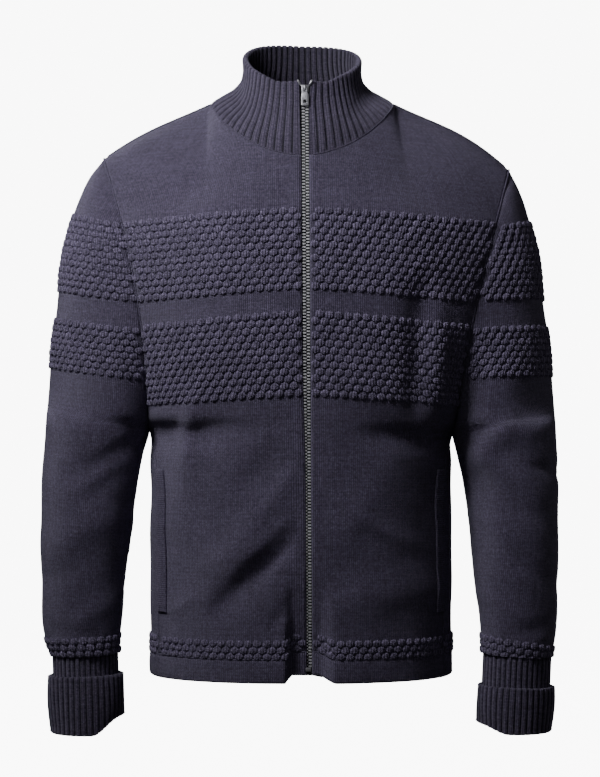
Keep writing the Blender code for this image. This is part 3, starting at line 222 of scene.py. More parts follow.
def curve(table, name, at):
    """A smooth value of one column at a place along the table's first column, with no overshoot."""
    keys, values = next(iter(table.values())), table[name]
    order = np.argsort(keys)
    keys, values = keys[order], values[order]
    at = np.clip(at, keys[0], keys[-1])
    gaps = np.diff(keys)
    slopes = np.diff(values) / gaps
    tangents = np.zeros(len(keys))
    tangents[0], tangents[-1] = slopes[0], slopes[-1]
    for i in range(1, len(keys) - 1):
        if slopes[i - 1] * slopes[i] > 0:
            tangents[i] = 2 * slopes[i - 1] * slopes[i] / (slopes[i - 1] + slopes[i])
    i = np.clip(np.searchsorted(keys, at, side="right") - 1, 0, len(gaps) - 1)
    return hermite(values, tangents, i, gaps[i], (at - keys[i]) / gaps[i])


def unit(vectors):
    vectors = np.asarray(vectors, float)
    return vectors / np.maximum(np.linalg.norm(vectors, axis=-1, keepdims=True), 1e-9)


def smooth(t):
    t = np.clip(t, 0.0, 1.0)
    return t * t * (3 - 2 * t)


def bezier(points, count, first=0.0, last=1.0):
    t = np.linspace(first, last, count)[:, None]
    a, b, c, d = (np.array(p, float) for p in points)
    return a * (1 - t) ** 3 + 3 * b * t * (1 - t) ** 2 + 3 * c * t * t * (1 - t) + d * t ** 3


def along(line, shares):
    """Points at shares of a polyline's length."""
    line = np.asarray(line, float)
    walked = distances(line)
    return interpolate(np.asarray(shares) * walked[-1], walked, line)


def grid_normals(grid, outward_from):
    """Unit normals of a grid of points, all on the side away from a middle line at (x, y)."""
    across = np.gradient(grid, axis=1)
    down = np.gradient(grid, axis=0)
    normals = unit(np.cross(across, down))
    away = grid - np.array([outward_from[0], outward_from[1], 0.0])
    away[..., 2] = 0
    flip = np.sign((normals * away).sum(-1).sum())
    return normals * flip


def zip_x(z):
    share = np.clip((z - RIM_FRONT_Z) / (HEM_Z - RIM_FRONT_Z), 0, 1)
    return ZIP_TOP_X + (ZIP_BOTTOM_X - ZIP_TOP_X) * share


def neck_line(turn):
    """The neck seam at an angle from the front, 0 to 360 degrees by way of the wearer's right."""
    a = math.radians(turn)
    ahead = math.cos(a)
    depth = NECK_FRONT if ahead > 0 else NECK_BACK
    z = NECK_SIDE_Z - NECK_FRONT_DROP * max(ahead, 0) ** NECK_DROP_POWER + NECK_BACK_RISE * max(-ahead, 0)
    return np.array([NECK_X - NECK_HALF * math.sin(a), -depth * ahead, z])


def neck_normal(turn):
    """Outward at the neck seam, alike for the body and the collar, so that their edges stay parted."""
    a = math.radians(turn)
    return unit([-0.55 * math.sin(a), -0.9 * math.cos(a), 0.3 + 0.55 * math.sin(a) ** 2])


def neck_knots():
    """Neck seam from the wearer's right zip edge round the back to the left one, with normals."""
    turns = np.arange(2 * PANEL_COLUMNS + 1) * 180 / PANEL_COLUMNS
    line = np.array([neck_line(turn) for turn in turns])
    shift = zip_x(line[0, 2]) - NECK_X + np.where(turns < 180, -ZIP_EDGE, ZIP_EDGE)
    line[:, 0] += shift * np.clip(1 - np.minimum(turns, 360 - turns) / NECK_BLEND, 0, 1)
    return line, np.array([neck_normal(turn) for turn in turns])


def arm_point(side, turn):
    """The armhole seam at an angle from its top, in front where positive and behind where negative."""
    hole = ARMHOLE[side]
    tip, pit = np.array(hole["tip"], float), np.array(hole["pit"], float)
    a = math.radians(turn)
    reach = hole["front"] if turn > 0 else hole["back"]
    point = (tip + pit) / 2 + (tip - pit) / 2 * math.cos(a)
    point[1] -= reach * math.sin(a)
    point[0] -= side * hole["bow"] * math.sin(a) ** 2
    return point


def arm_normal(side, turn):
    """Away from the armhole's middle in its own plane, alike for body and sleeve."""
    hole = ARMHOLE[side]
    half = (np.array(hole["tip"], float) - np.array(hole["pit"], float)) / 2
    half[1] = 0
    reach = hole["front"] if turn > 0 else hole["back"]
    a = math.radians(turn)
    return unit(unit(half) * math.cos(a) / np.linalg.norm(half) + np.array([0, -math.sin(a) / reach, 0]))


def arm_across(side):
    """From the body to the sleeve, square to the armhole's plane."""
    hole = ARMHOLE[side]
    half = (np.array(hole["tip"], float) - np.array(hole["pit"], float)) / 2
    return unit([side * abs(half[2]), 0, -abs(half[0])])


def arm_turns(side):
    """Angles of the armhole's stations, from its tip to the underarm point."""
    tip, pit = ARMHOLE[side]["tip"][2], ARMHOLE[side]["pit"][2]
    middle, half = (tip + pit) / 2, (tip - pit) / 2
    heights = list(SEAM_STATIONS) + [pit + PIT_STATION]
    return list(TOP_ANGLES) + [math.degrees(math.acos((z - middle) / half)) for z in heights] + [180]


def side_seam(side, z):
    centre = curve(TORSO, "centre", z)
    point = np.array([centre + side * curve(SIDE_SEAM, "x", z), curve(SIDE_SEAM, "y", z), z])
    if z > -371:
        point = np.array(ARMHOLE[side]["pit"], float)
    return point, curve(SIDE_SEAM, "turn", z)


def level_at_zip(z):
    """Height at the zip of the row that is at height z at the side."""
    return z + curve(PANEL_DROOP, "droop", z)


def front_row(side, seam, turn, height, count):
    """One row of a front, from the zip edge to a point on the side seam or armhole seam."""
    z = level_at_zip(height)
    edge = np.array([zip_x(z) + side * ZIP_EDGE, -curve(TORSO, "front", z), z])
    chord = np.linalg.norm(seam - edge)
    a = math.radians(turn)
    first = edge + [side * FRONT_FULLNESS * chord, 0, (seam[2] - z) * 0.35]
    second = seam - np.array([side * math.cos(a), math.sin(a), 0]) * SIDE_FULLNESS * chord
    second[2] = seam[2] + (z - seam[2]) * 0.25
    return bezier((edge, first, second, seam), count)


def back_row(seams, turn, height):
    """One row of the back, from the right seam point to the left one; turn is None under the arms."""
    middle = np.array([curve(TORSO, "centre", height), curve(TORSO, "back", height), height + BACK_ROW_RISE])
    halves = []
    for side, seam in zip((-1, 1), seams):
        if turn is None:
            half = curve(TORSO, "half", height)
            widest = np.array([middle[0] + side * half, WIDEST_Y, height])
            aside, ahead, behind = SIDE_WRAP
            before = bezier((seam, seam + [side * aside, ahead, 0], widest - [0, behind, 0], widest),
                            PANEL_COLUMNS // 6 + 1)
            after = bezier((widest, widest + [0, 0.6 * middle[1], 0],
                            middle + [side * 0.6 * half, 0, 0], middle),
                           PANEL_COLUMNS + 1 - PANEL_COLUMNS // 6)
            halves.append(np.concatenate([before[:-1], after]))
        else:
            a = math.radians(turn)
            chord = np.linalg.norm(middle - seam)
            start = seam + np.array([-side * math.cos(a), math.sin(a), 0]) * SIDE_FULLNESS * chord
            end = middle + [side * FRONT_FULLNESS * chord, 0, 0]
            halves.append(bezier((seam, start, end, middle), PANEL_COLUMNS + 1))
    return np.concatenate([halves[0], halves[1][-2::-1]])


def top_line(side, front):
    """A panel's top edge from the neck's middle along the neck seam and the shoulder seam to the tip."""
    knots, _ = neck_knots()
    half = PANEL_COLUMNS // 2
    if side < 0:
        neck = knots[:half + 1] if front else knots[PANEL_COLUMNS:half - 1:-1]
    else:
        neck = knots[:-half - 2:-1] if front else knots[PANEL_COLUMNS:PANEL_COLUMNS + half + 1]
    tip = np.array(ARMHOLE[side]["tip"], float)
    shares = np.linspace(0, 1, half + 1)[1:, None]
    bow = np.array([0, 0, SHOULDER_BOW[side]]) * np.sin(math.pi * shares ** 1.4)
    return np.concatenate([neck, neck[-1] * (1 - shares) + tip * shares + bow])


def shoulder_rows(top, first_full, side, front):
    """Rows between the top edge and the first full row under it, rounding over the shoulder."""
    rows = []
    turns = arm_turns(side)
    levels = len(TOP_ANGLES)
    guide = top * 0.5 + first_full * 0.5
    column = np.linspace(0, 1, len(top))[:, None]
    guide[:, 1:2] = top[:, 1:2] * (0.5 - 0.25 * column) + first_full[:, 1:2] * (0.5 + 0.25 * column)
    guide[:, 2:3] = top[:, 2:3] * (0.5 + 0.22 * column) + first_full[:, 2:3] * (0.5 - 0.22 * column)
    for k in range(levels):
        share = k / levels
        row = top * (1 - share) ** 2 + guide * 2 * share * (1 - share) + first_full * share ** 2
        if k:
            end = arm_point(side, turns[k] if front else -turns[k])
            row = row + smooth((column - 0.45) / 0.55) * (end - row[-1])
        rows.append(row)
    return rows


def fold_push(points, table, behind_of, side=None):
    """How far the folds move each point along its normal."""
    push = np.zeros(points.shape[:-1])
    x, z = points[..., 0], points[..., 2]
    behind = points[..., 1] > behind_of
    for i in range(len(table["x1"])):
        if side is not None and table["side"][i] != side:
            continue
        start = np.array([table["x1"][i], table["z1"][i]])
        line = np.array([table["x2"][i], table["z2"][i]]) - start
        share = ((x - start[0]) * line[0] + (z - start[1]) * line[1]) / (line @ line)
        held = np.clip(share, 0, 1)
        off = np.hypot(x - start[0] - line[0] * held, z - start[1] - line[1] * held)
        taper = np.clip(1 - 1.6 * np.abs(held - 0.5) ** 2, 0, 1)
        rise = table["out"][i] * np.exp(-(off / table["width"][i]) ** 2) * taper
        push += np.where(behind == bool(table["behind"][i]), rise, 0)
    return push


def arm_tangent(turn):
    """How far round a panel has turned from facing the front where it meets the armhole seam, degrees."""
    return ARM_TURN_TOP + (ARM_TURN_PIT - ARM_TURN_TOP) * smooth((abs(turn) - 90) / 80)


def front_rows(side):
    """Grid of a front from top to bottom, the number of shoulder rows, and the height of each row under them.
    """
    rows, heights = [], []
    turns = arm_turns(side)
    for turn in turns[len(TOP_ANGLES):]:
        seam = arm_point(side, turn)
        rows.append(front_row(side, seam, arm_tangent(turn), seam[2], PANEL_COLUMNS + 1))
        heights.append(seam[2])
    for z in LOWER_ROWS["z"]:
        seam, turn = side_seam(side, z)
        rows.append(front_row(side, seam, turn, z, PANEL_COLUMNS + 1))
        heights.append(z)
    top = shoulder_rows(top_line(side, True), rows[0], side, True)
    return np.array(top + rows), len(top), np.array(heights)


def back_rows():
    """Grid of the back from top to bottom, wearer's right to left, the number of shoulder rows, and the
    height of each row under them.
    """
    rows, heights = [], []
    pairs = list(zip(arm_turns(-1), arm_turns(1)))
    for right, left in pairs[len(TOP_ANGLES):]:
        seams = arm_point(-1, -right), arm_point(1, -left)
        height = (seams[0][2] + seams[1][2]) / 2
        rows.append(back_row(seams, arm_tangent(right), height))
        heights.append(height)
    for z in LOWER_ROWS["z"]:
        seams = side_seam(-1, z)[0], side_seam(1, z)[0]
        rows.append(back_row(seams, None, z))
        heights.append(z)
    halves = []
    for side in (-1, 1):
        half = rows[0][PANEL_COLUMNS::-1] if side < 0 else rows[0][PANEL_COLUMNS:]
        halves.append(shoulder_rows(top_line(side, False), half, side, False))
    top = [np.concatenate([right[::-1], left[1:]]) for right, left in zip(*halves)]
    return np.array(top + rows), len(top), np.array(heights)


def sleeve_row(side, front, behind, height, outer_z, lean):
    """One row of a sleeve, from a point in front, round the outer side, to one behind; lean is 0 where the
    row leaves the seam square to the side and 1 where it closes on itself under the arm."""
    lines = SLEEVE_LINES[side]
    far = np.array([side * curve(lines, "outer", outer_z), curve(lines, "middle", outer_z), outer_z])
    depth = curve(lines, "depth", (height + outer_z) / 2)
    a = math.radians(90 * lean)
    halves = []
    for way, near in ((-1, front), (1, behind)):
        reach = abs(far[0] - near[0])
        first = (4 / 3 * depth * lean + 0.5 * reach * (1 - lean))
        quarter = far[1] + (near[1] - far[1]) * SLEEVE_QUARTER
        target = quarter * (1 - lean) + (far[1] + way * depth) * lean
        second = abs(8 * target - 4 * near[1] - 4 * far[1] - 3 * way * first * math.sin(a)) / 3
        start = near + np.array([side * math.cos(a), way * math.sin(a), 0]) * first
        end = far + [0, way * second, 0]
        start[2] = near[2] + (outer_z - near[2]) * 0.3
        halves.append(bezier((near, start, end, far), SLEEVE_COLUMNS // 2 + 1))
    row = np.concatenate([halves[0], halves[1][-2::-1]])
    share = (row[:, 0] - front[0]) / (far[0] - front[0])
    if lean == 1:
        row[:, 2] = front[2] + (outer_z - front[2]) * share
    return row


def sleeve_rows(side):
    rows, heights = [], []
    turns = arm_turns(side)
    crown = [arm_point(side, turn) for turn in (turns[2], turns[1], 0, -turns[1], -turns[2])]
    rows.append(along(crown, np.linspace(0, 1, SLEEVE_COLUMNS + 1)))
    heights.append(crown[2][2])
    for turn in turns[3:]:
        front, behind = arm_point(side, turn), arm_point(side, -turn)
        lean = float(smooth((turn - 92) / 88)) if turn < 180 else 1.0
        rows.append(sleeve_row(side, front, behind, front[2], front[2] + SLEEVE_DROOP, lean))
        heights.append(front[2])
    for z, droop in zip(SLEEVE_LOWER["z"], SLEEVE_LOWER["droop"]):
        lines = SLEEVE_LINES[side]
        near = np.array([side * curve(lines, "inner", z), curve(lines, "middle", z), z])
        rows.append(sleeve_row(side, near, near, z, z + droop, 1.0))
        heights.append(z)
    return np.array(rows), np.array(heights), len(turns) - 3


def rim_line():
    turns = np.concatenate([[0], np.arange(RIM_FIRST_TURN, 361 - RIM_FIRST_TURN, 5.0), [360]])
    a = np.radians(turns)
    depth = np.where(np.cos(a) > 0, RIM_FRONT, RIM_BACK)
    rise = RIM_SIDE_Z - (RIM_FRONT_Z + RIM_BACK_Z) / 2
    z = RIM_FRONT_Z + (RIM_BACK_Z - RIM_FRONT_Z) * (1 - np.cos(a)) / 2 + rise * np.sin(a) ** 2
    beside = np.minimum(turns, 360 - turns)
    z -= RIM_DIP * np.exp(-((beside - RIM_DIP_AT) / RIM_DIP_WIDTH) ** 2)
    z += RIM_TILT * np.clip(np.sin(a), 0, 1) * (1 - np.cos(a)) / 2
    line = np.stack([NECK_X - RIM_HALF * np.sin(a), -depth * np.cos(a), z], 1)
    middle = zip_x(RIM_FRONT_Z)
    line[0, 0], line[-1, 0] = middle - RIM_SLIT, middle + RIM_SLIT
    return line


def collar_surface(shares, height):
    """Points of the collar's outer form at one share of its height, without ribs."""
    base = along(neck_knots()[0], shares)
    rim = along(rim_line(), shares)
    a = 2 * math.pi * np.asarray(shares)
    front = np.where(np.cos(a) > 0, np.cos(a) ** 2, 0)
    back = np.where(np.cos(a) < 0, np.cos(a) ** 2, 0)
    come_in = (front * curve(COLLAR_RISE, "front", height) + back * curve(COLLAR_RISE, "back", height)
               + np.sin(a) ** 2 * curve(COLLAR_RISE, "side", height))
    points = base + (rim - base) * come_in[:, None]
    points[:, 2] = base[:, 2] + (rim[:, 2] - base[:, 2]) * height
    edge = ZIP_EDGE + (RIM_SLIT - ZIP_EDGE) * smooth((height - 0.72) / 0.28)
    for end, side in ((0, -1), (-1, 1)):
        target = zip_x(points[end, 2]) + side * edge
        near = smooth(1 - np.abs(points[:, 0] - points[end, 0]) / 30) * (points[:, 1] < 0)
        points[:, 0] += (target - points[end, 0]) * near
    return points


def collar_normals(shares, height):
    step = 0.002
    here = collar_surface(shares, height)
    above = collar_surface(shares, min(height + step * 5, 1.0))
    below = collar_surface(shares, max(height - step * 5, 0.0))
    across = np.gradient(here, axis=0)
    normals = unit(np.cross(across, above - below))
    away = here - [NECK_X, 0, 0]
    away[:, 2] = 0
    normals *= np.sign((normals * away).sum(1).sum())
    normals[0, 0] = normals[-1, 0] = 0
    if height == 0:
        knots, fixed = neck_knots()
        walked = distances(knots)
        normals = interpolate(np.asarray(shares) * walked[-1], walked, fixed)
    return unit(normals)


def collar_thickness(shares):
    beside = np.minimum(shares, 1 - shares)
    return COLLAR_EDGE_THICK + (COLLAR_THICK - COLLAR_EDGE_THICK) * smooth(beside / 0.05)


def cuff_ring(cuff, side, radius, height, count):
    """A ring of a cuff; its lowest rows rise towards the inner side as the fold does."""
    down = (SLEEVE_END_Z - height) / (SLEEVE_END_Z - cuff["fold_z"])
    a = np.arange(count) * 2 * math.pi / count
    inward = (1 - np.cos(a)) / 2
    x = cuff["x"] - side * cuff["lean"] * down + side * radius * np.cos(a)
    y = cuff["y"] + radius * CUFF_DEEPER * np.sin(a)
    rise = CUFF_SEAM_RISE * inward * (1 - down) + cuff["lift"] * smooth((inward - 0.6) / 0.4) * smooth(
        (down - 0.6) / 0.4)
    return np.stack([x, y, height + rise], 1)


# Materials

SWEEP_GLOW = 9.0
WALE, COURSE = 2.35, 1.75  # width and height of a stitch


class Nodes:
    """Short ways to add and join shader nodes."""

    def __init__(self, name):
        self.made = bpy.data.materials.new(name)
        self.made.use_nodes = True
        self.tree = self.made.node_tree
        self.shader = self.tree.nodes["Principled BSDF"]

    def put(self, kind, sockets=None, **settings):
        node = self.tree.nodes.new(kind)
        for key, value in settings.items():
            setattr(node, key, value)
        for key, value in (sockets or {}).items():
            self.join(value, node.inputs[key])
        return node

    def join(self, value, socket):
        if isinstance(value, bpy.types.NodeSocket):
            self.tree.links.new(value, socket)
        else:
            socket.default_value = value

    def surface(self, **inputs):
        """Joins or sets inputs of the shader, such as Sheen_Weight."""
        for key, value in inputs.items():
            self.join(value, self.shader.inputs[key.replace("_", " ")])

    def bump(self, height, distance, strength):
        self.surface(Normal=self.put("ShaderNodeBump", {
            "Height": height, "Distance": distance, "Strength": strength}).outputs[0])

    def math(self, operation, a, b=0.0):
        return self.put("ShaderNodeMath", {0: a, 1: b}, operation=operation).outputs[0]

    def times(self, a, b):
        return self.math("MULTIPLY", a, b)

    def plus(self, a, b):
        return self.math("ADD", a, b)

    def from_middle(self, value):
        """Distance from the middle of a repeat, 0 to 0.5."""
        return self.math("ABSOLUTE", self.math("SUBTRACT", self.math("FRACT", value), 0.5))

    def mix(self, share, a, b, blend="MIX"):
        node = self.put("ShaderNodeMix", {0: share, 6: a, 7: b}, data_type="RGBA", blend_type=blend)
        return node.outputs[2]

    def noise(self, vector, scale, detail=2.0, rough=0.5):
        return self.put("ShaderNodeTexNoise", {"Vector": vector, "Scale": scale, "Detail": detail,
                                               "Roughness": rough}).outputs["Fac"]

    def ramp(self, value, low, high, to_low=0.0, to_high=1.0):
        return self.put("ShaderNodeMapRange", {0: value, 1: low, 2: high, 3: to_low, 4: to_high}).outputs[0]

    def place(self):
        return self.put("ShaderNodeTexCoord").outputs["Object"]

    def uv(self):
        return self.put("ShaderNodeUVMap", uv_map="knit").outputs[0]


def tint(colour, gain=1.0):
    return (*(min(c * gain, 1.0) for c in colour), 1.0)


def stitches(n, uv):
    """Plain knit: height, 0 in the grooves to 1 on the strands, a number for each stitch, and streaks."""
    parts = n.put("ShaderNodeSeparateXYZ", {0: uv})
    u, v = parts.outputs[0], parts.outputs[1]
    across = n.from_middle(u)
    leg = n.times(n.ramp(across, 0.0, 0.16, 0.72, 1.0), n.ramp(across, 0.26, 0.5, 1.0, 0.0))
    slant = n.plus(v, n.times(across, 1.1))
    sides = n.math("ABSOLUTE", n.math("SUBTRACT", n.times(n.math("FRACT", slant), 2.0), 1.0))
    strand = n.math("SUBTRACT", 1.0, n.math("POWER", sides, 2.5))
    height = n.times(n.plus(n.times(leg, 0.85), 0.15), n.plus(n.times(strand, 0.5), 0.5))
    cell = n.put("ShaderNodeCombineXYZ", {0: n.math("FLOOR", u), 1: n.math("FLOOR", slant)}).outputs[0]
    each = n.put("ShaderNodeTexWhiteNoise", {0: cell}, noise_dimensions="3D").outputs["Value"]
    stretched = (n.put("ShaderNodeVectorMath", {0: uv, 1: scale}, operation="MULTIPLY").outputs[0]
                 for scale in ((0.05, 0.8, 0.0), (0.7, 0.03, 0.0)))
    rows, wales = (n.noise(vector, 1.0) for vector in stretched)
    return height, each, n.times(n.ramp(rows, 0.3, 0.7, 0.82, 1.18), n.ramp(wales, 0.3, 0.7, 0.88, 1.12))


def knit_material(name, colour, light, relief, fleck=0.35, hollow_shade=0.8):
    """Wool yarn in plain knit: heathered colour, stitches in the bump, a soft fuzz, and painted shade: the
    colour is darker in the grooves between strands and wherever the mesh's shade attribute is set.
    """
    n = Nodes(name)
    place = n.place()
    height, each, uneven = stitches(n, n.uv())
    fibre = n.noise(place, 2600.0, 3.0, 0.65)
    patch = n.noise(place, 9.0)
    base = n.mix(n.ramp(n.noise(place, 420.0, 2.0, 0.7), 0.35, 0.65), tint(colour), tint(light))
    base = n.mix(n.times(n.ramp(each, 0.0, 1.0), fleck), base, tint(colour, 0.55))
    base = n.mix(n.ramp(fibre, 0.55, 0.75, 0.0, 0.35), base, tint(light, 1.9))
    # Painted shade: the shade attribute darkens the colour between bobbles, in rib furrows and inside the
    # collar; the stitch height darkens it in the grooves between strands and lightens it on them (painted
    # light).
    painted_shade = n.put("ShaderNodeAttribute", attribute_name="shade").outputs["Fac"]
    shade = n.ramp(height, 0.08, 0.7, 0.12, 1.4)
    for part in (n.ramp(patch, 0.3, 0.7, 0.93, 1.07), uneven, n.ramp(painted_shade, 0.0, 1.0, 1.0, hollow_shade),
                 n.ramp(each, 0.0, 1.0, 0.7, 1.3)):
        shade = n.times(shade, part)
    grey = n.put("ShaderNodeCombineXYZ", {0: shade, 1: shade, 2: shade}).outputs[0]
    n.surface(Base_Color=n.mix(1.0, base, grey, "MULTIPLY"), Roughness=n.ramp(fibre, 0.3, 0.7, 0.82, 1.0),
              Specular_IOR_Level=0.2, Sheen_Weight=0.35, Sheen_Roughness=0.55,
              Sheen_Tint=(0.75, 0.72, 0.95, 1.0))
    n.bump(n.plus(height, n.times(fibre, 0.35)), relief, 0.9)
    return n.made


def tape_material(name, colour):
    """Woven zip tape: a fine herringbone, with painted shade where the weave lies low."""
    n = Nodes(name)
    parts = n.put("ShaderNodeSeparateXYZ", {0: n.uv()})
    across = n.from_middle(n.times(parts.outputs[0], 0.5))
    twill = n.math("SINE", n.times(n.plus(parts.outputs[1], n.times(across, 2.0)), 9.0))
    lift = n.ramp(twill, -1.0, 1.0)
    # Painted shade: the colour is halved where the twill lies low.
    n.surface(Base_Color=n.mix(lift, tint(colour, 0.5), tint(colour)), Roughness=0.8)
    n.bump(lift, 0.0002, 0.7)
    return n.made


def metal_material(name, colour, rough, metallic):
    """Worn silver-coloured metal with fine scratches and duller patches."""
    n = Nodes(name)
    place = n.place()
    grain = n.noise(place, 900.0, 3.0, 0.6)
    wear = n.ramp(n.noise(place, 160.0), 0.35, 0.7)
    n.surface(Base_Color=n.mix(wear, tint(colour), tint(colour, 0.7)), Metallic=metallic,
              Roughness=n.ramp(grain, 0.3, 0.7, rough - 0.08, rough + 0.12))
    n.bump(grain, 0.00008, 0.5)
    return n.made


def plain_material(name, colour, rough, glow=0.0):
    n = Nodes(name)
    spread = n.ramp(n.noise(n.place(), 3.0), 0.3, 0.7)
    n.surface(Emission_Color=(1, 1, 1, 1), Emission_Strength=glow,
              Base_Color=n.mix(spread, tint(colour), tint(colour, 0.99)), Roughness=rough)
    return n.made


MATERIALS = {
    "knit": knit_material("navy_plain_knit", (0.072, 0.059, 0.108), (0.150, 0.126, 0.205), 0.0012),
    # The bobble yarn is a lighter copy of the plain knit's yarn, with fewer dark flecks: painted light on the
    # raised bobbles.
    "bobble": knit_material("navy_bobble_knit_painted_lighter", (0.076, 0.063, 0.113), (0.190, 0.160, 0.256), 0.0010, 0.1),
    # The rib yarn is a slightly darker copy of the plain knit's yarn: painted shade on the ribs.
    "rib": knit_material("navy_rib_knit_painted_darker", (0.068, 0.056, 0.102), (0.142, 0.118, 0.188), 0.0010, 0.3, 0.1),
    "tape": tape_material("zip_tape_weave", (0.022, 0.019, 0.032)),
    "metal": metal_material("zip_silver", (0.95, 0.95, 1.0), 0.3, 0.45),
    "metal_dark": metal_material("zip_silver_hardware", (0.5, 0.5, 0.55), 0.34, 0.8),
}


# Meshes

def refine(grid, step):
    """A grid with rows about a step apart, smooth down each column, and the old rows' new places."""
    gaps = np.linalg.norm(np.diff(grid, axis=0), axis=2).mean(1)
    knots = np.concatenate([[0], np.cumsum(gaps)])
    counts = np.maximum(np.round(gaps / step), 1).astype(int)
    at = np.concatenate([np.linspace(a, b, n, endpoint=False)
                         for a, b, n in zip(knots, knots[1:], counts)] + [knots[-1:]])
    slopes = np.diff(grid, axis=0) / gaps[:, None, None]
    share = (gaps[1:] / (gaps[1:] + gaps[:-1]))[:, None, None]
    tangents = np.concatenate([slopes[:1], slopes[:-1] * share + slopes[1:] * (1 - share), slopes[-1:]])
    i = np.clip(np.searchsorted(knots, at, side="right") - 1, 0, len(gaps) - 1)
    t = ((at - knots[i]) / gaps[i])[:, None, None]
    return hermite(grid, tangents, i, gaps[i][:, None, None], t), np.concatenate([[0], np.cumsum(counts)])


def new_object(name, points, faces, uvs, kind, joined=False, shade=None):
    """A smooth mesh object from points in millimetres, with a place on the knit for each point."""
    mesh = bpy.data.meshes.new(name)
    mesh.from_pydata((np.asarray(points) * MM).tolist(), [], [list(map(int, face)) for face in faces])
    if uvs is not None:
        layer = mesh.uv_layers.new(name="knit")
        corners = np.empty(len(mesh.loops), int)
        mesh.loops.foreach_get("vertex_index", corners)
        layer.data.foreach_set("uv", np.asarray(uvs, float)[corners].reshape(-1))
    if shade is not None:
        layer = mesh.attributes.new("shade", "FLOAT", "POINT")
        layer.data.foreach_set("value", np.asarray(shade, float).reshape(-1))
    work = bmesh.new()
    work.from_mesh(mesh)
    if joined:
        bmesh.ops.remove_doubles(work, verts=work.verts, dist=0.00001)
    bmesh.ops.recalc_face_normals(work, faces=work.faces)
    work.to_mesh(mesh)
    work.free()
    mesh.shade_smooth()
    mesh.materials.append(MATERIALS[kind])
    made = bpy.data.objects.new(name, mesh)
    bpy.context.scene.collection.objects.link(made)
    return made


def quads(rows, count, shift=0, flip=False):
    index = np.arange(rows * count).reshape(rows, count) + shift
    faces = np.stack([index[:-1, :-1], index[:-1, 1:], index[1:, 1:], index[1:, :-1]], -1).reshape(-1, 4)
    return faces[:, ::-1] if flip else faces


def rim_faces(rows, count, shift):
    index = np.arange(rows * count).reshape(rows, count)
    return np.array([(b, a, a + shift, b + shift)
                     for line in (index[0], index[-1][::-1], index[:, -1], index[::-1, 0])
                     for a, b in zip(line, line[1:])])


def shell(name, outer, inner, uv, kind, joined=False, shade=None):
    """A closed thin wall between two grids."""
    rows, count = outer.shape[:2]
    shift = rows * count
    faces = np.concatenate([quads(rows, count), quads(rows, count, shift, True),
                            rim_faces(rows, count, shift)])
    points = np.concatenate([outer.reshape(-1, 3), inner.reshape(-1, 3)])
    flat = uv.reshape(-1, 2)
    if shade is not None:
        shade = np.concatenate([shade.reshape(-1), np.zeros(shift)])
    return new_object(name, points, faces, np.concatenate([flat, flat]), kind, joined, shade)


def rows_of(name, grid, uv, kind, round_rows=False, capped=False, shade=None):
    """A surface through a grid; round_rows joins the last row to the first, capped closes the two ends."""
    rows, count = grid.shape[:2]
    faces = quads(rows, count)
    if round_rows:
        index = np.arange(rows * count).reshape(rows, count)
        a, b = index[-1], index[0]
        faces = np.concatenate([faces, np.stack([a[:-1], a[1:], b[1:], b[:-1]], -1)])
        if capped:
            caps = [[(index[i, end], index[i + 1, end], index[-i - 2, end], index[-i - 1, end])
                     for i in range(rows // 2 - 1)] for end in (0, -1)]
            faces = np.concatenate([faces] + caps)
    return new_object(name, grid.reshape(-1, 3), faces, uv.reshape(-1, 2), kind, True, shade)


def tube(name, line, radius, kind, sides=8, wave=0.0, pitch=2.4, flat=1.0, normals=None):
    """A thin seam ridge along a line."""
    line = np.asarray(line, float)
    walked = distances(line)
    count = max(int(walked[-1] / 1.3), 8)
    shares = np.linspace(0, 1, count)
    fine = along(line, shares)
    way = unit(np.gradient(fine, axis=0))
    if normals is None:
        up = unit(np.cross(way, np.cross([0.3, -1.0, 0.5], way)))
    else:
        up = interpolate(shares * walked[-1], walked, np.asarray(normals))
        up = unit(up - way * (up * way).sum(1, keepdims=True))
    across = np.cross(way, up)
    a = np.arange(sides + 1) * 2 * math.pi / sides
    swell = 1 + wave * np.sin(shares * walked[-1] / pitch * 2 * math.pi)
    ends = np.clip(from_edges(count) / 2 + 0.15, 0, 1)
    size = (radius * swell * ends)[:, None, None]
    ring = np.cos(a)[None, :, None] * across[:, None] + flat * np.sin(a)[None, :, None] * up[:, None]
    uv = uv_grid(a / math.pi * 1.5, shares * walked[-1] / COURSE)
    return rows_of(name, fine[:, None] + size * ring, uv, kind)


def dress(made, slot, *nodes, body="garment"):
    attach(made, body)
    if nodes:
        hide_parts(*nodes)
    return made


# Body panels

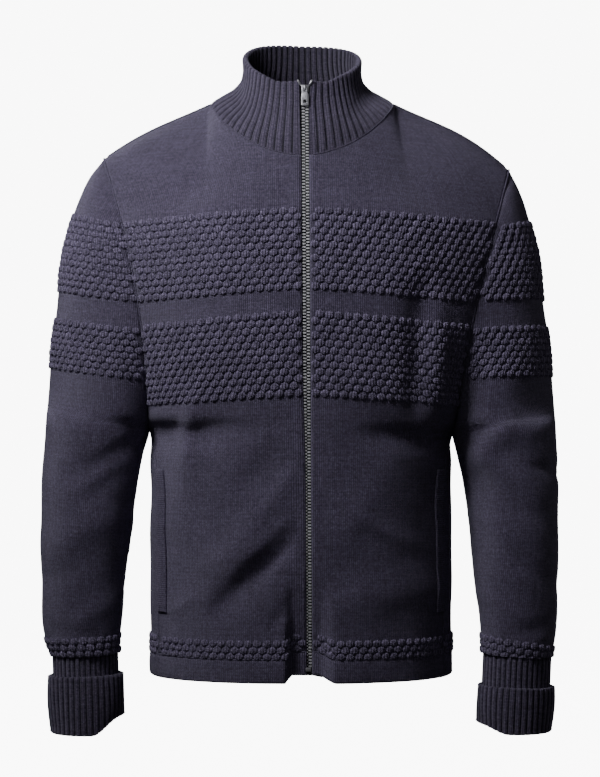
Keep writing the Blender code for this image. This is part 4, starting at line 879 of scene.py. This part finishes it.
# Bands of bobbles: top and bottom by height at the seam, and how many rows
BAND_ROWS = {"front": ((-131, -225.5, 12), (-250.5, -343, 12)), "sleeve": ((-135, -225, 12), (-255, -313, 8))}
HEM_BAND_ROWS, CUFF_BAND_ROWS = (-604.5, -626, 3), (-604.5, -627, 3)
FOLD_GAIN, FOLDS_BEHIND = 1.4, 20  # gain of the extra folds, and the y beyond which a fold is behind
BOBBLE_PITCH, BOBBLE_HIGH = 10.5, 2.4
SLEEVE_TILT = {-1: 0.0, 1: 11.0}  # how much lower the bands are at the outer side than the rows they follow
EXTRA_FOLDS = columns("x1 z1 x2 z2 width out behind", [
    (-128, -340, -132, -372, 9, 2.2, 0), (-132, -372, -134, -405, 10, 2.5, 0),
    (-24, -408, -50, -446, 9, -1.8, 0), (-22, -470, -80, -528, 8, 2.2, 0), (-20, -497, -56, -534, 7, -2.4, 0),
    (-56, -520, -98, -566, 8, -2.0, 0), (-60, -500, -118, -520, 12, 1.6, 0),
    (-128, -560, -148, -575, 6, 1.6, 0),
    (-16, -560, -40, -590, 8, -1.8, 0), (18, -420, 60, -470, 10, 1.8, 0), (22, -500, 70, -560, 9, -1.8, 0),
    (60, -470, 120, -500, 11, 2.0, 0), (30, -300, 90, -345, 12, 1.2, 0), (-110, -80, -150, -120, 14, -1.6, 0),
    (112, -90, 150, -130, 14, -1.6, 0), (-40, -90, -90, -110, 14, 1.2, 0), (128, -350, 150, -400, 9, 2.2, 0),
    (-60, -420, -110, -520, 12, 3.0, 1), (-20, -470, -96, -556, 10, -2.6, 1),
    (50, -440, 118, -540, 12, -3.0, 1),
    (20, -380, 96, -420, 12, 2.0, 1), (-20, -350, -100, -372, 10, -1.8, 1), (60, -560, 130, -590, 9, 2.0, 1),
    (-100, -110, -150, -160, 14, 1.8, 1), (96, -100, 150, -150, 14, 1.8, 1), (30, -120, 40, -230, 16, 1.4, 1),
])
EXTRA_SLEEVE_FOLDS = columns("side x1 z1 x2 z2 width out behind", [
    (-1, -200, -372, -240, -398, 9, 2.6, 0), (-1, -210, -420, -250, -448, 9, -2.2, 0),
    (-1, -250, -520, -292, -540, 11, -2.0, 0), (-1, -215, -560, -262, -590, 10, 2.4, 0),
    (-1, -240, -606, -286, -596, 7, -1.8, 0), (-1, -268, -150, -286, -200, 12, -1.4, 0),
    (-1, -200, -460, -214, -560, 12, -3.0, 0), (1, 200, -372, 232, -410, 9, -3.2, 0),
    (1, 196, -470, 236, -500, 10, 2.6, 0), (1, 240, -520, 284, -548, 10, -2.2, 0),
    (1, 206, -560, 250, -586, 9, 2.2, 0), (1, 236, -604, 280, -592, 7, -1.8, 0),
    (1, 196, -420, 206, -520, 12, -2.6, 0), (-1, -210, -480, -280, -520, 11, 3.0, 1),
    (-1, -220, -560, -280, -590, 9, -2.2, 1), (-1, -206, -440, -262, -480, 9, 2.4, 1),
    (1, 206, -470, 272, -520, 11, 3.0, 1), (1, 214, -560, 276, -588, 9, -2.2, 1),
    (1, 200, -440, 258, -470, 9, 2.4, 1),
])


def sway(points):
    """Slight unevenness of hanging knit, in millimetres."""
    x, y, z = points[..., 0], points[..., 1], points[..., 2]
    return (0.7 * np.sin(x / 31 + z / 53 + 0.7) + 0.5 * np.sin(x / 17 - z / 41 + y / 37)
            + 0.35 * np.sin(z / 13 + x / 47 + 2.0) * np.sin(x / 23 + y / 29))


def knit_places(grid, column):
    """Stitch columns and rows for each point of a panel, counted from one column."""
    steps = np.linalg.norm(np.diff(grid, axis=1), axis=2)
    walked = np.concatenate([np.zeros((len(grid), 1)), np.cumsum(steps, 1)], 1)
    down = distances(grid[:, column])
    return walked - walked[:, column:column + 1], np.repeat(down[:, None], grid.shape[1], 1)


def level_courses(grid, down, first_full):
    """Distances down the knit, with the stitch rows level above the first full row of the grid."""
    levels = down.copy()
    full = grid[first_full]
    levels[:first_full] = down[first_full] - (grid[:first_full, :, 2] - full[None, :, 2]) * 1.06
    return levels


def sample(array, rows, cols):
    """Values of a grid at fractional rows and columns."""
    r = np.clip(rows.astype(int), 0, array.shape[0] - 2)
    c = np.clip(cols.astype(int), 0, array.shape[1] - 2)
    v, u = (rows - r)[..., None], (cols - c)[..., None]
    return ((array[r, c] * (1 - u) + array[r, c + 1] * u) * (1 - v)
            + (array[r + 1, c] * (1 - u) + array[r + 1, c + 1] * u) * v)


BOBBLE_A = np.array([-1, -0.82, -0.6, -0.36, -0.18, 0, 0.18, 0.36, 0.6, 0.82, 1.0])
BOBBLE_B = np.array([-1, -0.72, -0.3, 0.1, 0.5, 0.82, 1.0])


def bobble_shape():
    """One bobble: points across, down and out, with three bulging stitches gathered at top and bottom."""
    a, b = np.meshgrid(BOBBLE_A, BOBBLE_B)
    x, y = a * np.sqrt(1 - b * b / 2), b * np.sqrt(1 - a * a / 2)
    away = np.hypot(x, y)
    bulge = 1 + 0.16 * np.sin(np.pi * np.clip(away, 0, 1))
    out = np.sqrt(np.clip(1 - away ** 2.6, 0, 1))
    groove = np.exp(-((np.abs(a) - 0.36) / 0.12) ** 2)
    out = out * (1 - 0.28 * groove)
    y = y * (1 - 0.16 * groove * b * b)
    out = np.where(away > 0.99, -0.25, out)
    return x * bulge, y * bulge + 0.06 * out, out


def bobbles(name, grid, normals, across, down, bands, seed, tilt=0.0):
    """Rows of bobbles over the bands of a panel, every other row set half a bobble aside."""
    rng = np.random.default_rng(seed)
    shape_a, shape_b, shape_out = bobble_shape()
    size = shape_a.size
    heights, numbers = down[:, 0], np.arange(len(down))
    columns_across = np.arange(across.shape[1])
    points, uvs = [], []
    for top, low, count in bands:
        pitch = (low - top) / count
        for k in range(count):
            level = top + (k + 0.5) * pitch
            row = np.full(across.shape[1], float(np.interp(level, heights, numbers)))
            line = sample(across[..., None], row, columns_across.astype(float))[:, 0]
            reach = BOBBLE_PITCH * 0.30
            first = math.ceil((line[0] + reach) / BOBBLE_PITCH - 0.5 * (k % 2))
            last = math.floor((line[-1] - reach) / BOBBLE_PITCH - 0.5 * (k % 2))
            places = (np.arange(first, last + 1) + 0.5 * (k % 2)) * BOBBLE_PITCH
            for place in places + rng.normal(0, 0.16, len(places)):
                a = shape_a * (BOBBLE_PITCH * 0.5 * rng.normal(0.87, 0.03))
                b = shape_b * (pitch * 0.5 * rng.normal(1.2, 0.04))
                turn = rng.normal(0, 0.06)
                a, b = a * math.cos(turn) - b * math.sin(turn), a * math.sin(turn) + b * math.cos(turn)
                lower = tilt * max(0.0, 1 - abs(place) / 110)
                rows = np.interp(level + lower + b + rng.normal(0, 0.14), heights, numbers)
                cols = np.interp(place + a, line, columns_across)
                out = unit(sample(normals, rows, cols))
                tall = BOBBLE_HIGH * rng.normal(1.0, 0.07)
                on = sample(grid, rows, cols) + out * (shape_out * tall)[..., None]
                points.append(on.reshape(size, 3))
                uv = [shape_a / 0.72 + 0.5 + rng.integers(0, 900), -2.2 * shape_b + 0.3 * rng.random()]
                uvs.append(np.stack(uv, -1).reshape(size, 2))
    cell = quads(len(BOBBLE_B), len(BOBBLE_A))
    faces = (np.arange(len(points))[:, None, None] * size + cell[None]).reshape(-1, 4)
    return new_object(name, np.concatenate(points), faces, np.concatenate(uvs), "bobble")


def draw_in(grid, points):
    """The hem drawn in at the zip."""
    down = smooth((RECESS_TOP_Z - grid[..., 2]) / (RECESS_TOP_Z - HEM_Z))
    beside = grid[..., 0] - zip_x(grid[..., 2])
    share = np.where(beside < 0, smooth((RECESS_HALF + beside) / 7), smooth((RECESS_HALF + 6 - beside) / 22))
    share = share * down * (grid[..., 1] < 0)
    points[..., 1] += RECESS * share
    points[..., 2] += RECESS_LIFT * share
    return points


def band_levels(bands, heights, rows, down):
    """Bands given by height at the seam, as distances down the panel."""
    order = np.argsort(heights)
    found = []
    for top, low, count in bands:
        ends = [np.interp(z, heights[order], rows[order]) for z in (top, low)]
        found.append((*(float(np.interp(end, np.arange(len(down)), down[:, 0])) for end in ends), count))
    return found


def band_shade(down, levels):
    """1 where the knit between bobbles lies in their shade, 0 elsewhere."""
    shade = np.zeros(down.shape)
    for top, low, _ in levels:
        shade = np.maximum(shade, smooth((down - top) / 3) * smooth((low - down) / 3))
    return shade


def dress_panel(name, outer, inner, normals, uv, across, down, levels, seed, joined=False, tilt=0.0):
    made = shell(name + "_knit", outer, inner, uv, "knit", joined, band_shade(down, levels))
    dress(made, "knit", name)
    dress(bobbles(name + "_bobbles", outer, normals, across, down, levels, seed, tilt), "knit")


def make_panel(name, side, rows, top_count, heights, column, fixed, seed):
    """A front, or the back where side is 0; the folds fade out over the fixed columns at each edge."""
    grid, places = refine(rows, PANEL_STEP)
    normals = unit(grid_normals(grid, (0, 0)))
    if side:
        normals[:, 0, 0] = 0
        normals = unit(normals)
    count = grid.shape[1]
    push = (fold_push(grid, FOLDS, FOLDS_BEHIND) + FOLD_GAIN * fold_push(grid, EXTRA_FOLDS, FOLDS_BEHIND)
            + sway(grid))
    push *= smooth(from_edges(count) / fixed)[None, :] * smooth(np.arange(len(grid)) / 14)[:, None]
    across, down = knit_places(grid, column)
    uv = np.stack([across / WALE * (side or 1), -level_courses(grid, down, places[top_count]) / COURSE], -1)
    outer = grid + normals * push[..., None]
    if side:
        outer = draw_in(grid, outer)
    if side < 0:
        outer[..., 0] += LAP * smooth((LAP_FROM_Z - outer[..., 2]) / 150) * smooth(1 - np.arange(count) / 6)
    inner = outer - normals * CLOTH
    normals = unit(grid_normals(outer, (0, 0)))
    levels = band_levels(BAND_ROWS["front"] + (HEM_BAND_ROWS,), heights, places[top_count:], down)
    dress_panel(name, outer, inner, normals, uv, across, down, levels, seed)
    return outer, inner, normals, across


def make_sleeve(side):
    rows, heights, closed = sleeve_rows(side)
    grid, places = refine(rows, PANEL_STEP)
    normals = grid_normals(grid, (side * SLEEVE_MIDDLE_X, 0))
    start = places[closed]
    joined = unit(normals[start:, 0] + normals[start:, -1])
    normals[start:, 0] = normals[start:, -1] = joined
    grid[start:, -1] = grid[start:, 0]
    push = (fold_push(grid, SLEEVE_FOLDS, 0, side) + fold_push(grid, EXTRA_SLEEVE_FOLDS, 0, side)
            + sway(grid + [200, 90, 0]))
    held = smooth(from_edges(SLEEVE_COLUMNS + 1) / 7)[None, :]
    open_share = smooth((start + 8 - np.arange(len(grid))) / 16)[:, None]
    push *= smooth(np.arange(len(grid)) / 12)[:, None] * (held * open_share + 1 - open_share)
    push[:, -1] = push[:, 0]
    across, down = knit_places(grid, SLEEVE_COLUMNS // 2)
    uv = np.stack([across / WALE, -down / COURSE], -1)
    outer = grid + normals * push[..., None]
    levels = band_levels(BAND_ROWS["sleeve"] + (CUFF_BAND_ROWS,), heights, places, down)
    dress_panel(sided("sleeve", side), outer, outer - normals * CLOTH, normals, uv, across, down, levels,
                21 + side, True, SLEEVE_TILT[side])


# Collar

RIB_SAMPLES = 8
RIB_RELIEF, INSIDE_SHADE = 2.0, 0.4


def rib_relief(phase):
    """Depth of a rib at a share of its width: a rounded face with a narrow furrow at 0."""
    from_furrow = np.minimum(phase, 1 - phase)
    return -np.exp(-(from_furrow / 0.12) ** 2) * 1.0 + 0.28 * np.sin(np.pi * phase) ** 0.6


def furrow_shade(phase):
    return np.exp(-(np.minimum(phase, 1 - phase) / 0.15) ** 2)


def make_collar():
    count = COLLAR_RIBS * RIB_SAMPLES + 1
    shares = np.linspace(0, 1, count)
    phase = (shares * COLLAR_RIBS) % 1.0
    beside = np.minimum(shares, 1 - shares)
    relief = rib_relief(phase) * smooth((beside - 0.004) / 0.006)
    rise_outer = np.concatenate([[0, 0.012, 0.03], np.linspace(0.06, 1, 30)])
    rows, down = [], []
    for height in rise_outer:
        points, out = collar_surface(shares, height), collar_normals(shares, height)
        strength = smooth(height / 0.05) * RIB_RELIEF
        rows.append(points + out * (relief * strength)[:, None] + [0, 0, GAP * (height == 0)])
        down.append(height * 140)
    thick = collar_thickness(shares)
    edge, out = collar_surface(shares, 1.0), collar_normals(shares, 1.0)
    for k in range(1, 8):
        a = math.pi * k / 8
        middle = edge - out * (thick / 2)[:, None]
        up = np.array([0, 0, 1.0]) * RIM_CREST * 1.5 * math.sin(a)
        swell = (relief * RIB_RELIEF * (1 - 0.35 * math.sin(a)))[:, None]
        rows.append(middle + out * (thick / 2 * math.cos(a))[:, None] + up
                    + swell * (out * math.cos(a) + np.array([0, 0, 1.0]) * math.sin(a)))
        down.append(140 + k)
    for height in np.concatenate([np.linspace(1, 0.06, 26), [0.03, 0.0]]):
        points, out = collar_surface(shares, height), collar_normals(shares, height)
        inside = thick if height > 0.01 else np.full(count, CLOTH)
        strength = smooth(height / 0.08) * RIB_RELIEF * 0.8
        rows.append(points - out * (inside + relief * strength)[:, None] + [0, 0, GAP * (height == 0)])
        down.append(148 + (1 - height) * 130)
    inside = np.arange(len(rows)) > len(rise_outer) + 5
    uv = uv_grid(shares * COLLAR_RIBS * 3, np.array(down) / COURSE)
    made = rows_of("collar_rib", np.array(rows), uv, "rib", True, True,
                   furrow_shade(phase)[None] + INSIDE_SHADE * inside[:, None])
    dress(made, "rib_knit", "collar")


# Cuffs

def make_cuff(side):
    cuff, name = CUFFS[side], sided("cuff", side)
    tube_r, turned, edge, fold = (cuff[key] for key in ("tube", "turned", "edge_z", "fold_z"))
    top = SLEEVE_END_Z - GAP
    lining, pocket = tube_r - CUFF_WALL, fold + 2 * CUFF_WALL
    back = turned - CUFF_WALL - RIB_DEPTH
    profile = [(tube_r, z, 1.0) for z in np.linspace(top, edge - 6, 8)]
    profile += [(tube_r - 0.6, edge - 14, 0.3), (tube_r - RIB_DEPTH, pocket, 0.0), (back, pocket, 0.0)]
    profile += [(back, z, 0.0) for z in np.linspace(pocket + 8, edge - 1.4, 4)]
    profile += [(back + 0.5, edge - 0.3, 0.3), ((back + turned) / 2, edge + 0.5, 0.8),
                (turned + 0.1, edge - 0.5, 1.0)]
    profile += [(turned + 1.1 * math.sin(math.pi * t) - 0.6 * t, edge + (fold + 4 - edge) * t, 1.0)
                for t in np.linspace(0.06, 1, 16)]
    profile += [((turned + lining) / 2 + (turned - lining) / 2 * math.cos(a), fold + 3 - 3 * math.sin(a),
                 0.9 - 0.6 * a / math.pi) for a in np.linspace(0.3, math.pi - 0.2, 7)]
    profile += [(lining, z, -0.5) for z in np.linspace(fold + 6, top, 14)]
    count = CUFF_RIBS * RIB_SAMPLES
    phase = (np.arange(count) / RIB_SAMPLES) % 1.0
    relief = rib_relief(phase)
    rows = []
    for radius, z, strength in profile:
        ring = cuff_ring(cuff, side, radius, z, count)
        away = ring - [cuff["x"], cuff["y"], 0]
        away[:, 2] = 0
        lean = 0.8 * np.sin(np.arange(count) / count * 2 * math.pi * 3 + z / 19) if turned - 2 < radius else 0
        ring = ring + unit(away) * (relief * RIB_RELIEF * strength + lean)[:, None]
        rows.append(np.concatenate([ring, ring[:1]]))
    uv = uv_grid(np.arange(count + 1) / RIB_SAMPLES * 3, profile_lengths(profile) / COURSE)
    shade = furrow_shade(np.append(phase, phase[0]))
    made = rows_of(name + "_rib", np.array(rows), uv, "rib", True, shade=np.repeat(shade[None], len(rows), 0))
    dress(made, "rib_knit", name)


# Hem bands

def profile_lengths(profile):
    """How far along a profile of a wall each of its points is."""
    steps = [math.hypot(b[0] - a[0], b[1] - a[1]) for a, b in zip(profile, profile[1:])]
    return np.array([0, *np.cumsum(steps)])


def make_hem_band(name, outer, inner, across):
    top, away = (outer + inner) / 2, unit(outer - inner)
    drop, half = HEM_Z - HEM_SEAM_Z, HEM_BAND_THICK / 2
    turns = np.linspace(0, math.pi, 9)
    profile = [(half - 0.8, 0.0), (half - 0.1, 0.05), (half + 0.1, 0.2), (half + 0.35, 0.45),
               (half + 0.3, 0.7)]
    profile += [(half * math.cos(a) + 0.25 * (1 - a / math.pi), 0.88 + 0.12 * math.sin(a)) for a in turns]
    profile += [(-half, 0.7), (-half, 0.45), (-half, 0.2), (-half + 0.9, 0.0)]
    rows, walked = [], []
    for k, (out, down) in enumerate(profile):
        row = top + away * (out + 0.5 * np.sin(across / 21.0) * math.sin(math.pi * min(down, 1)))[:, None]
        row[:, 2] += drop * down - GAP
        rows.append(row)
        step = math.hypot(out - profile[k - 1][0], drop * (down - profile[k - 1][1]))
        walked.append(walked[-1] + step if k else 0)
    faces = quads(len(rows), len(across))
    index = np.arange(len(rows) * len(across)).reshape(len(rows), -1)
    faces = [tuple(face) for face in faces] + [tuple(index[::-1, 0]), tuple(index[:, -1])]
    faces += [(a, b, d, c) for a, b, c, d in zip(index[-1], index[-1][1:], index[0], index[0][1:])]
    uv = uv_grid(across / WALE, -np.array(walked) / COURSE).reshape(-1, 2)
    dress(new_object(name + "_knit", np.array(rows).reshape(-1, 3), faces, uv, "knit"), "knit", name)


# Welts, tapes, teeth and seams

def make_welt(side, outer, normals):
    """A pocket welt on a front, beside its side seam, knitted with its rows running sideways."""
    heights = outer[:, -1, 2]
    width = np.linalg.norm(outer[-40, -1] - outer[-40, -2])
    shares = PANEL_COLUMNS - np.linspace(WELT_WIDTH, WELT_INSET, 9) / width
    front, back = [], []
    for z in np.linspace(*WELT_ENDS, 60):
        row = np.full(9, float(np.interp(-z, -heights, np.arange(len(heights)))))
        points, out = sample(outer, row, shares), unit(sample(normals, row, shares))
        crown = 0.5 * np.sin(np.linspace(0, math.pi, 9))[:, None]
        ends = min(1.0, (min(z - WELT_ENDS[1], WELT_ENDS[0] - z)) / 4 + 0.45)
        ribs = 0.18 * math.sin(z / 3.4 * 2 * math.pi)
        back.append(points + out * (WELT_LIFT - 0.3))
        front.append(points + out * (WELT_LIFT + WELT_THICK * ends + ribs + crown))
    x, y = np.meshgrid(np.linspace(0, WELT_WIDTH, 9), np.linspace(0, WELT_ENDS[0] - WELT_ENDS[1], 60))
    name = sided("welt", side)
    uv = np.stack([y / WALE, x / COURSE], -1)
    dress(shell(name + "_knit", np.array(front), np.array(back), uv, "knit"), "knit", name)


def zip_stations(side, inner, normals):
    stations = []

    def add(r, point, step):
        stations.append((point, unit(inner[r, 4] - inner[r, 0]), unit(normals[r, 0] * [0, 1, 1]), step))

    last = len(inner) - 1
    add(last, inner[last, 0] + [0, 0, TAPE_END_Z - inner[last, 0, 2]], HEM_TAPE_STEP)
    for r in range(last, 2, -3):
        add(r, inner[r, 0], HEM_TAPE_STEP if r == last else PANEL_TAPE_STEP)
    plain = np.linspace(0, 1, COLLAR_RIBS + 1)
    numbers = [0, 2] if side < 0 else [-1, -3]
    for height in np.linspace(0.08, 1, 14):
        around, out = collar_surface(plain, height), collar_normals(plain, height)
        points = (around - out * collar_thickness(plain)[:, None])[numbers]
        stations.append((points[0], unit(points[1] - points[0]), out[numbers[0]], COLLAR_TAPE_STEP))
    return stations


def station_at(stations, z):
    heights = [station[0][2] for station in stations]
    place = np.interp(z, heights, np.arange(len(heights)))
    i = min(int(place), len(stations) - 2)
    t = place - i
    point, way, out, step = (stations[i][k] * (1 - t) + stations[i + 1][k] * t for k in range(4))
    return point, unit(way), unit(out), step


def make_tape(side, stations):
    front, back = [], []
    top = stations[-1][0][2]
    zs = np.concatenate([np.linspace(TAPE_END_Z, SLIDER_LOW, 150), np.linspace(SLIDER_LOW + 1, top, 6)])
    for z in zs:
        point, way, out, step = station_at(stations, z)
        parted = smooth((z - SLIDER_LOW + 2) / 9)
        inner_edge = TAPE_INNER + (RIM_TAPE_INNER - TAPE_INNER) * parted
        edge = point - out * (GAP + step)
        lap = TAPE_LAP * (1 - parted) if side < 0 else 0
        near = edge + [zip_x(z) + side * (inner_edge - lap) - point[0], 0, 0] - out * lap
        if side * (edge[0] - near[0]) < 0.8:
            edge = near + way * 0.8
        shares = np.linspace(0, 1, 5)[:, None]
        line = np.concatenate([near * (1 - shares) + edge * shares,
                               edge + way * np.linspace(2, TAPE_WIDTH, 5)[:, None]])
        front.append(line)
        back.append(line - out * TAPE_THICK * 0.7)
    front, back = np.array(front), np.array(back)
    name = sided("zip_tape", side)
    uv = uv_grid(np.linspace(0, 16, front.shape[1]) / 2, zs / 2)
    dress(shell(name + "_weave", front, back, uv, "tape"), "zip_tape", name)


def tooth(wide, high, thick):
    """A bevelled block with a rounded head, pointing to +x."""
    xs = [-wide / 2, -wide / 2 + 0.25, wide * 0.2, wide / 2 - 0.2, wide / 2]
    sections = []
    for x, h, t in zip(xs, (0.75, 1.0, 1.0, 0.9, 0.5), (0.7, 1.0, 1.0, 0.95, 0.6)):
        hh, tt = high / 2 * h, thick / 2 * t
        c = 0.3
        sections.append([(x, a * hh, b * tt) for a, b in (
            (-1, -1 + c), (-1, 1 - c), (-1 + c, 1), (1 - c, 1),
            (1, 1 - c), (1, -1 + c), (1 - c, -1), (-1 + c, -1))])
    points = np.array(sections).reshape(-1, 3)
    n = 8
    faces = [[k * n + i, k * n + (i + 1) % n, (k + 1) * n + (i + 1) % n, (k + 1) * n + i]
             for k in range(len(xs) - 1) for i in range(n)]
    faces += [list(range(n))[::-1], list(range((len(xs) - 1) * n, len(xs) * n))]
    return points, faces


def make_teeth(side, stations):
    """Separate metal teeth that mesh with those of the other side."""
    shape, shape_faces = tooth(TOOTH_LONG, TOOTH_HIGH, TEETH_THICK)
    points, faces = [], []
    low = TEETH_END_Z + 0.5 + (TOOTH_PITCH / 2 if side > 0 else 0)
    for z in np.arange(low, SLIDER_LOW + 1.5, TOOTH_PITCH):
        point, _, out, step = station_at(stations, z)
        centre = (point + [zip_x(z) + side * TOOTH_ASIDE - point[0], 0, 0]
                  + out * (TEETH_THICK / 2 + TOOTH_FORWARD - step))
        along_zip = unit(np.cross(out, [1.0, 0, 0]))
        faces += [[i + len(points) * len(shape) for i in face] for face in shape_faces]
        points.append(centre + np.outer(shape[:, 0] * -side, [1.0, 0, 0]) + np.outer(shape[:, 1], along_zip)
                      + np.outer(shape[:, 2], out))
    name = sided("zip_teeth", side)
    made = new_object(name + "_metal", np.concatenate(points), faces, None, "metal")
    made.data.set_sharp_from_angle(angle=math.radians(40))
    dress(made, "zip_metal", name)


def make_metal(node):
    """A metal part with its edges rounded off."""
    source = bpy.data.objects[node]
    mesh = source.data.copy()
    work = bmesh.new()
    work.from_mesh(mesh)
    bmesh.ops.remove_doubles(work, verts=work.verts, dist=0.00001)
    bmesh.ops.dissolve_limit(work, angle_limit=0.02, verts=work.verts, edges=work.edges)
    sharp = [edge for edge in work.edges if edge.is_manifold and edge.calc_face_angle() > 0.5]
    bmesh.ops.bevel(work, geom=sharp, offset=METAL_EDGE * MM, segments=2, profile=0.6, affect="EDGES",
                    clamp_overlap=True)
    bmesh.ops.triangulate(work, faces=work.faces)
    work.to_mesh(mesh)
    work.free()
    mesh.shade_smooth()
    mesh.set_sharp_from_angle(angle=math.radians(50))
    mesh.materials.clear()
    mesh.materials.append(MATERIALS["metal_dark"])
    made = bpy.data.objects.new(node + "_metal", mesh)
    made.matrix_world = source.matrix_world.copy()
    bpy.context.scene.collection.objects.link(made)
    return dress(made, "zip_metal", node, body="pull" if node == "pull_tab" else "garment")


def make_top_stop(side):
    """A bar of metal pinched round the tape's end, leaning away from the zip."""
    node = sided("top_stop", side)
    corners = [Vector(corner) / MM for corner in bpy.data.objects[node].bound_box]
    deep = sum(corner.y for corner in corners) / 8 - 2.4
    middle = zip_x(RIM_FRONT_Z)
    line = [(middle + side * (8.6 - 4.2 * t), deep, 25.6 - 7.0 * t) for t in np.linspace(0, 1, 8)]
    dress(tube(node + "_metal", line, 1.35, "metal_dark", wave=0.1, pitch=1.8, flat=0.8), "zip_metal", node)


def make_seams(fronts, back):
    def seam(name, line, normals=None, radius=1.15, wave=0.16):
        dress(tube("seam_" + name, line, radius, "knit", wave=wave, normals=normals), "knit")

    half = PANEL_COLUMNS // 2
    for side, word in SIDES:
        for way, face in ((1, "front"), (-1, "behind")):
            turns = way * np.linspace(0, 179, 70)
            line = np.array([arm_point(side, turn) for turn in turns])
            out = np.array([arm_normal(side, turn) for turn in turns])
            seam("armhole_%s_%s" % (word, face), line + out * 0.35 - arm_across(side) * 0.9, out)
        outer, _, normals, _ = fronts[side]
        shoulder = top_line(side, True)[half:-1] + np.array([0, 0, 0.2])
        seam("shoulder_" + word, shoulder, np.repeat([[side * 0.43, 0, 0.9]], len(shoulder), 0), 0.9, 0.1)
        rows = slice(int(len(outer) * 0.58), None)
        seam("side_" + word, outer[rows, -1], normals[rows, -1], 0.9, 0.12)
        seam("hem_front_" + word, outer[-1] + [0, 0, 0.2], normals[-1], 1.0, 0.2)
    seam("hem_back", back[0][-1] + [0, 0, 0.2], back[2][-1], 1.0, 0.2)
    knots, out = neck_knots()
    seam("neck", knots[1:-1], out[1:-1], 0.75, 0.2)


# The garment

fronts = {side: make_panel(sided("front", side), side, *front_rows(side), 0, 6, 11 + side)
          for side in (-1, 1)}
back = make_panel("back", 0, *back_rows(), PANEL_COLUMNS, 8, 5)
for side in (-1, 1):
    make_sleeve(side)
make_collar()
for side in (-1, 1):
    outer, inner, normals, across = fronts[side]
    make_cuff(side)
    make_hem_band(sided("hem_front", side), outer[-1], inner[-1], across[-1])
    make_welt(side, outer, normals)
    stations = zip_stations(side, inner, normals)
    make_tape(side, stations)
    make_teeth(side, stations)
make_hem_band("hem_back", back[0][-1], back[1][-1], back[3][-1])
make_seams(fronts, back)

for node in ("slider", "pull_tab", "bottom_stop"):
    make_metal(node)
for side in (-1, 1):
    make_top_stop(side)


# Stage, lights and camera

def make_stage():
    floor, back_wall, height = -1.0, 5.0, 4.5
    profile = [(-4.0, floor)] + [(back_wall - 1.2 + 1.2 * math.sin(a), floor + 1.2 - 1.2 * math.cos(a))
                                 for a in np.linspace(0, math.pi / 2, 24)] + [(back_wall, height)]
    mesh = bpy.data.meshes.new("studio_sweep")
    points = [(x, y, z) for y, z in profile for x in (-6.0, 6.0)]
    mesh.from_pydata(points, [], [(2 * i, 2 * i + 1, 2 * i + 3, 2 * i + 2) for i in range(len(profile) - 1)])
    mesh.shade_smooth()
    sweep = bpy.data.objects.new("studio_sweep", mesh)
    mesh.materials.append(plain_material("pale_sweep", (0.93, 0.93, 0.935), 0.9, SWEEP_GLOW))
    sweep.visible_diffuse = sweep.visible_glossy = False
    bpy.context.scene.collection.objects.link(sweep)


def add_light(name, place, aim, size, power, spread=180):
    data = bpy.data.lights.new(name, "AREA")
    data.spread = math.radians(spread)
    data.shape = "RECTANGLE"
    data.size, data.size_y = size
    data.energy = power
    light = bpy.data.objects.new(name, data)
    light.location = place
    light.rotation_euler = (Vector(aim) - Vector(place)).to_track_quat("-Z", "Y").to_euler()
    bpy.context.scene.collection.objects.link(light)


CAMERA_PLACE, LENS = (-0.007, -3.0, -0.323), 120.0
WORLD_LIGHT = 0.025


def make_camera():
    data = bpy.data.cameras.new("camera")
    data.lens, data.sensor_width, data.sensor_fit = LENS, 36.0, "AUTO"
    camera = bpy.data.objects.new("camera", data)
    camera.location = CAMERA_PLACE
    camera.rotation_euler = (math.radians(90), 0, 0)
    bpy.context.scene.collection.objects.link(camera)
    bpy.context.scene.camera = camera


make_stage()
world = bpy.data.worlds.new("studio")
world.use_nodes = True
world.node_tree.nodes["Background"].inputs[0].default_value = (1, 1, 1, 1)
world.node_tree.nodes["Background"].inputs[1].default_value = WORLD_LIGHT
bpy.context.scene.world = world
MIDDLE = (0, 0, -0.3)  # of the garment
add_light("key", (-0.8, -0.95, 0.85), (-0.02, 0, -0.08), (0.5, 0.5), 3.7, 75)
add_light("front_fill", (-0.5, -3.2, 0.3), MIDDLE, (1.4, 1.0), 3.2)
add_light("back_light", (-0.9, 3.0, 1.1), MIDDLE, (1.6, 1.6), 40)
for side, word in SIDES:
    add_light("side_light_" + word, (side * 3.0, 1.6, 0.4), MIDDLE, (1.2, 1.6), 8)
make_camera()
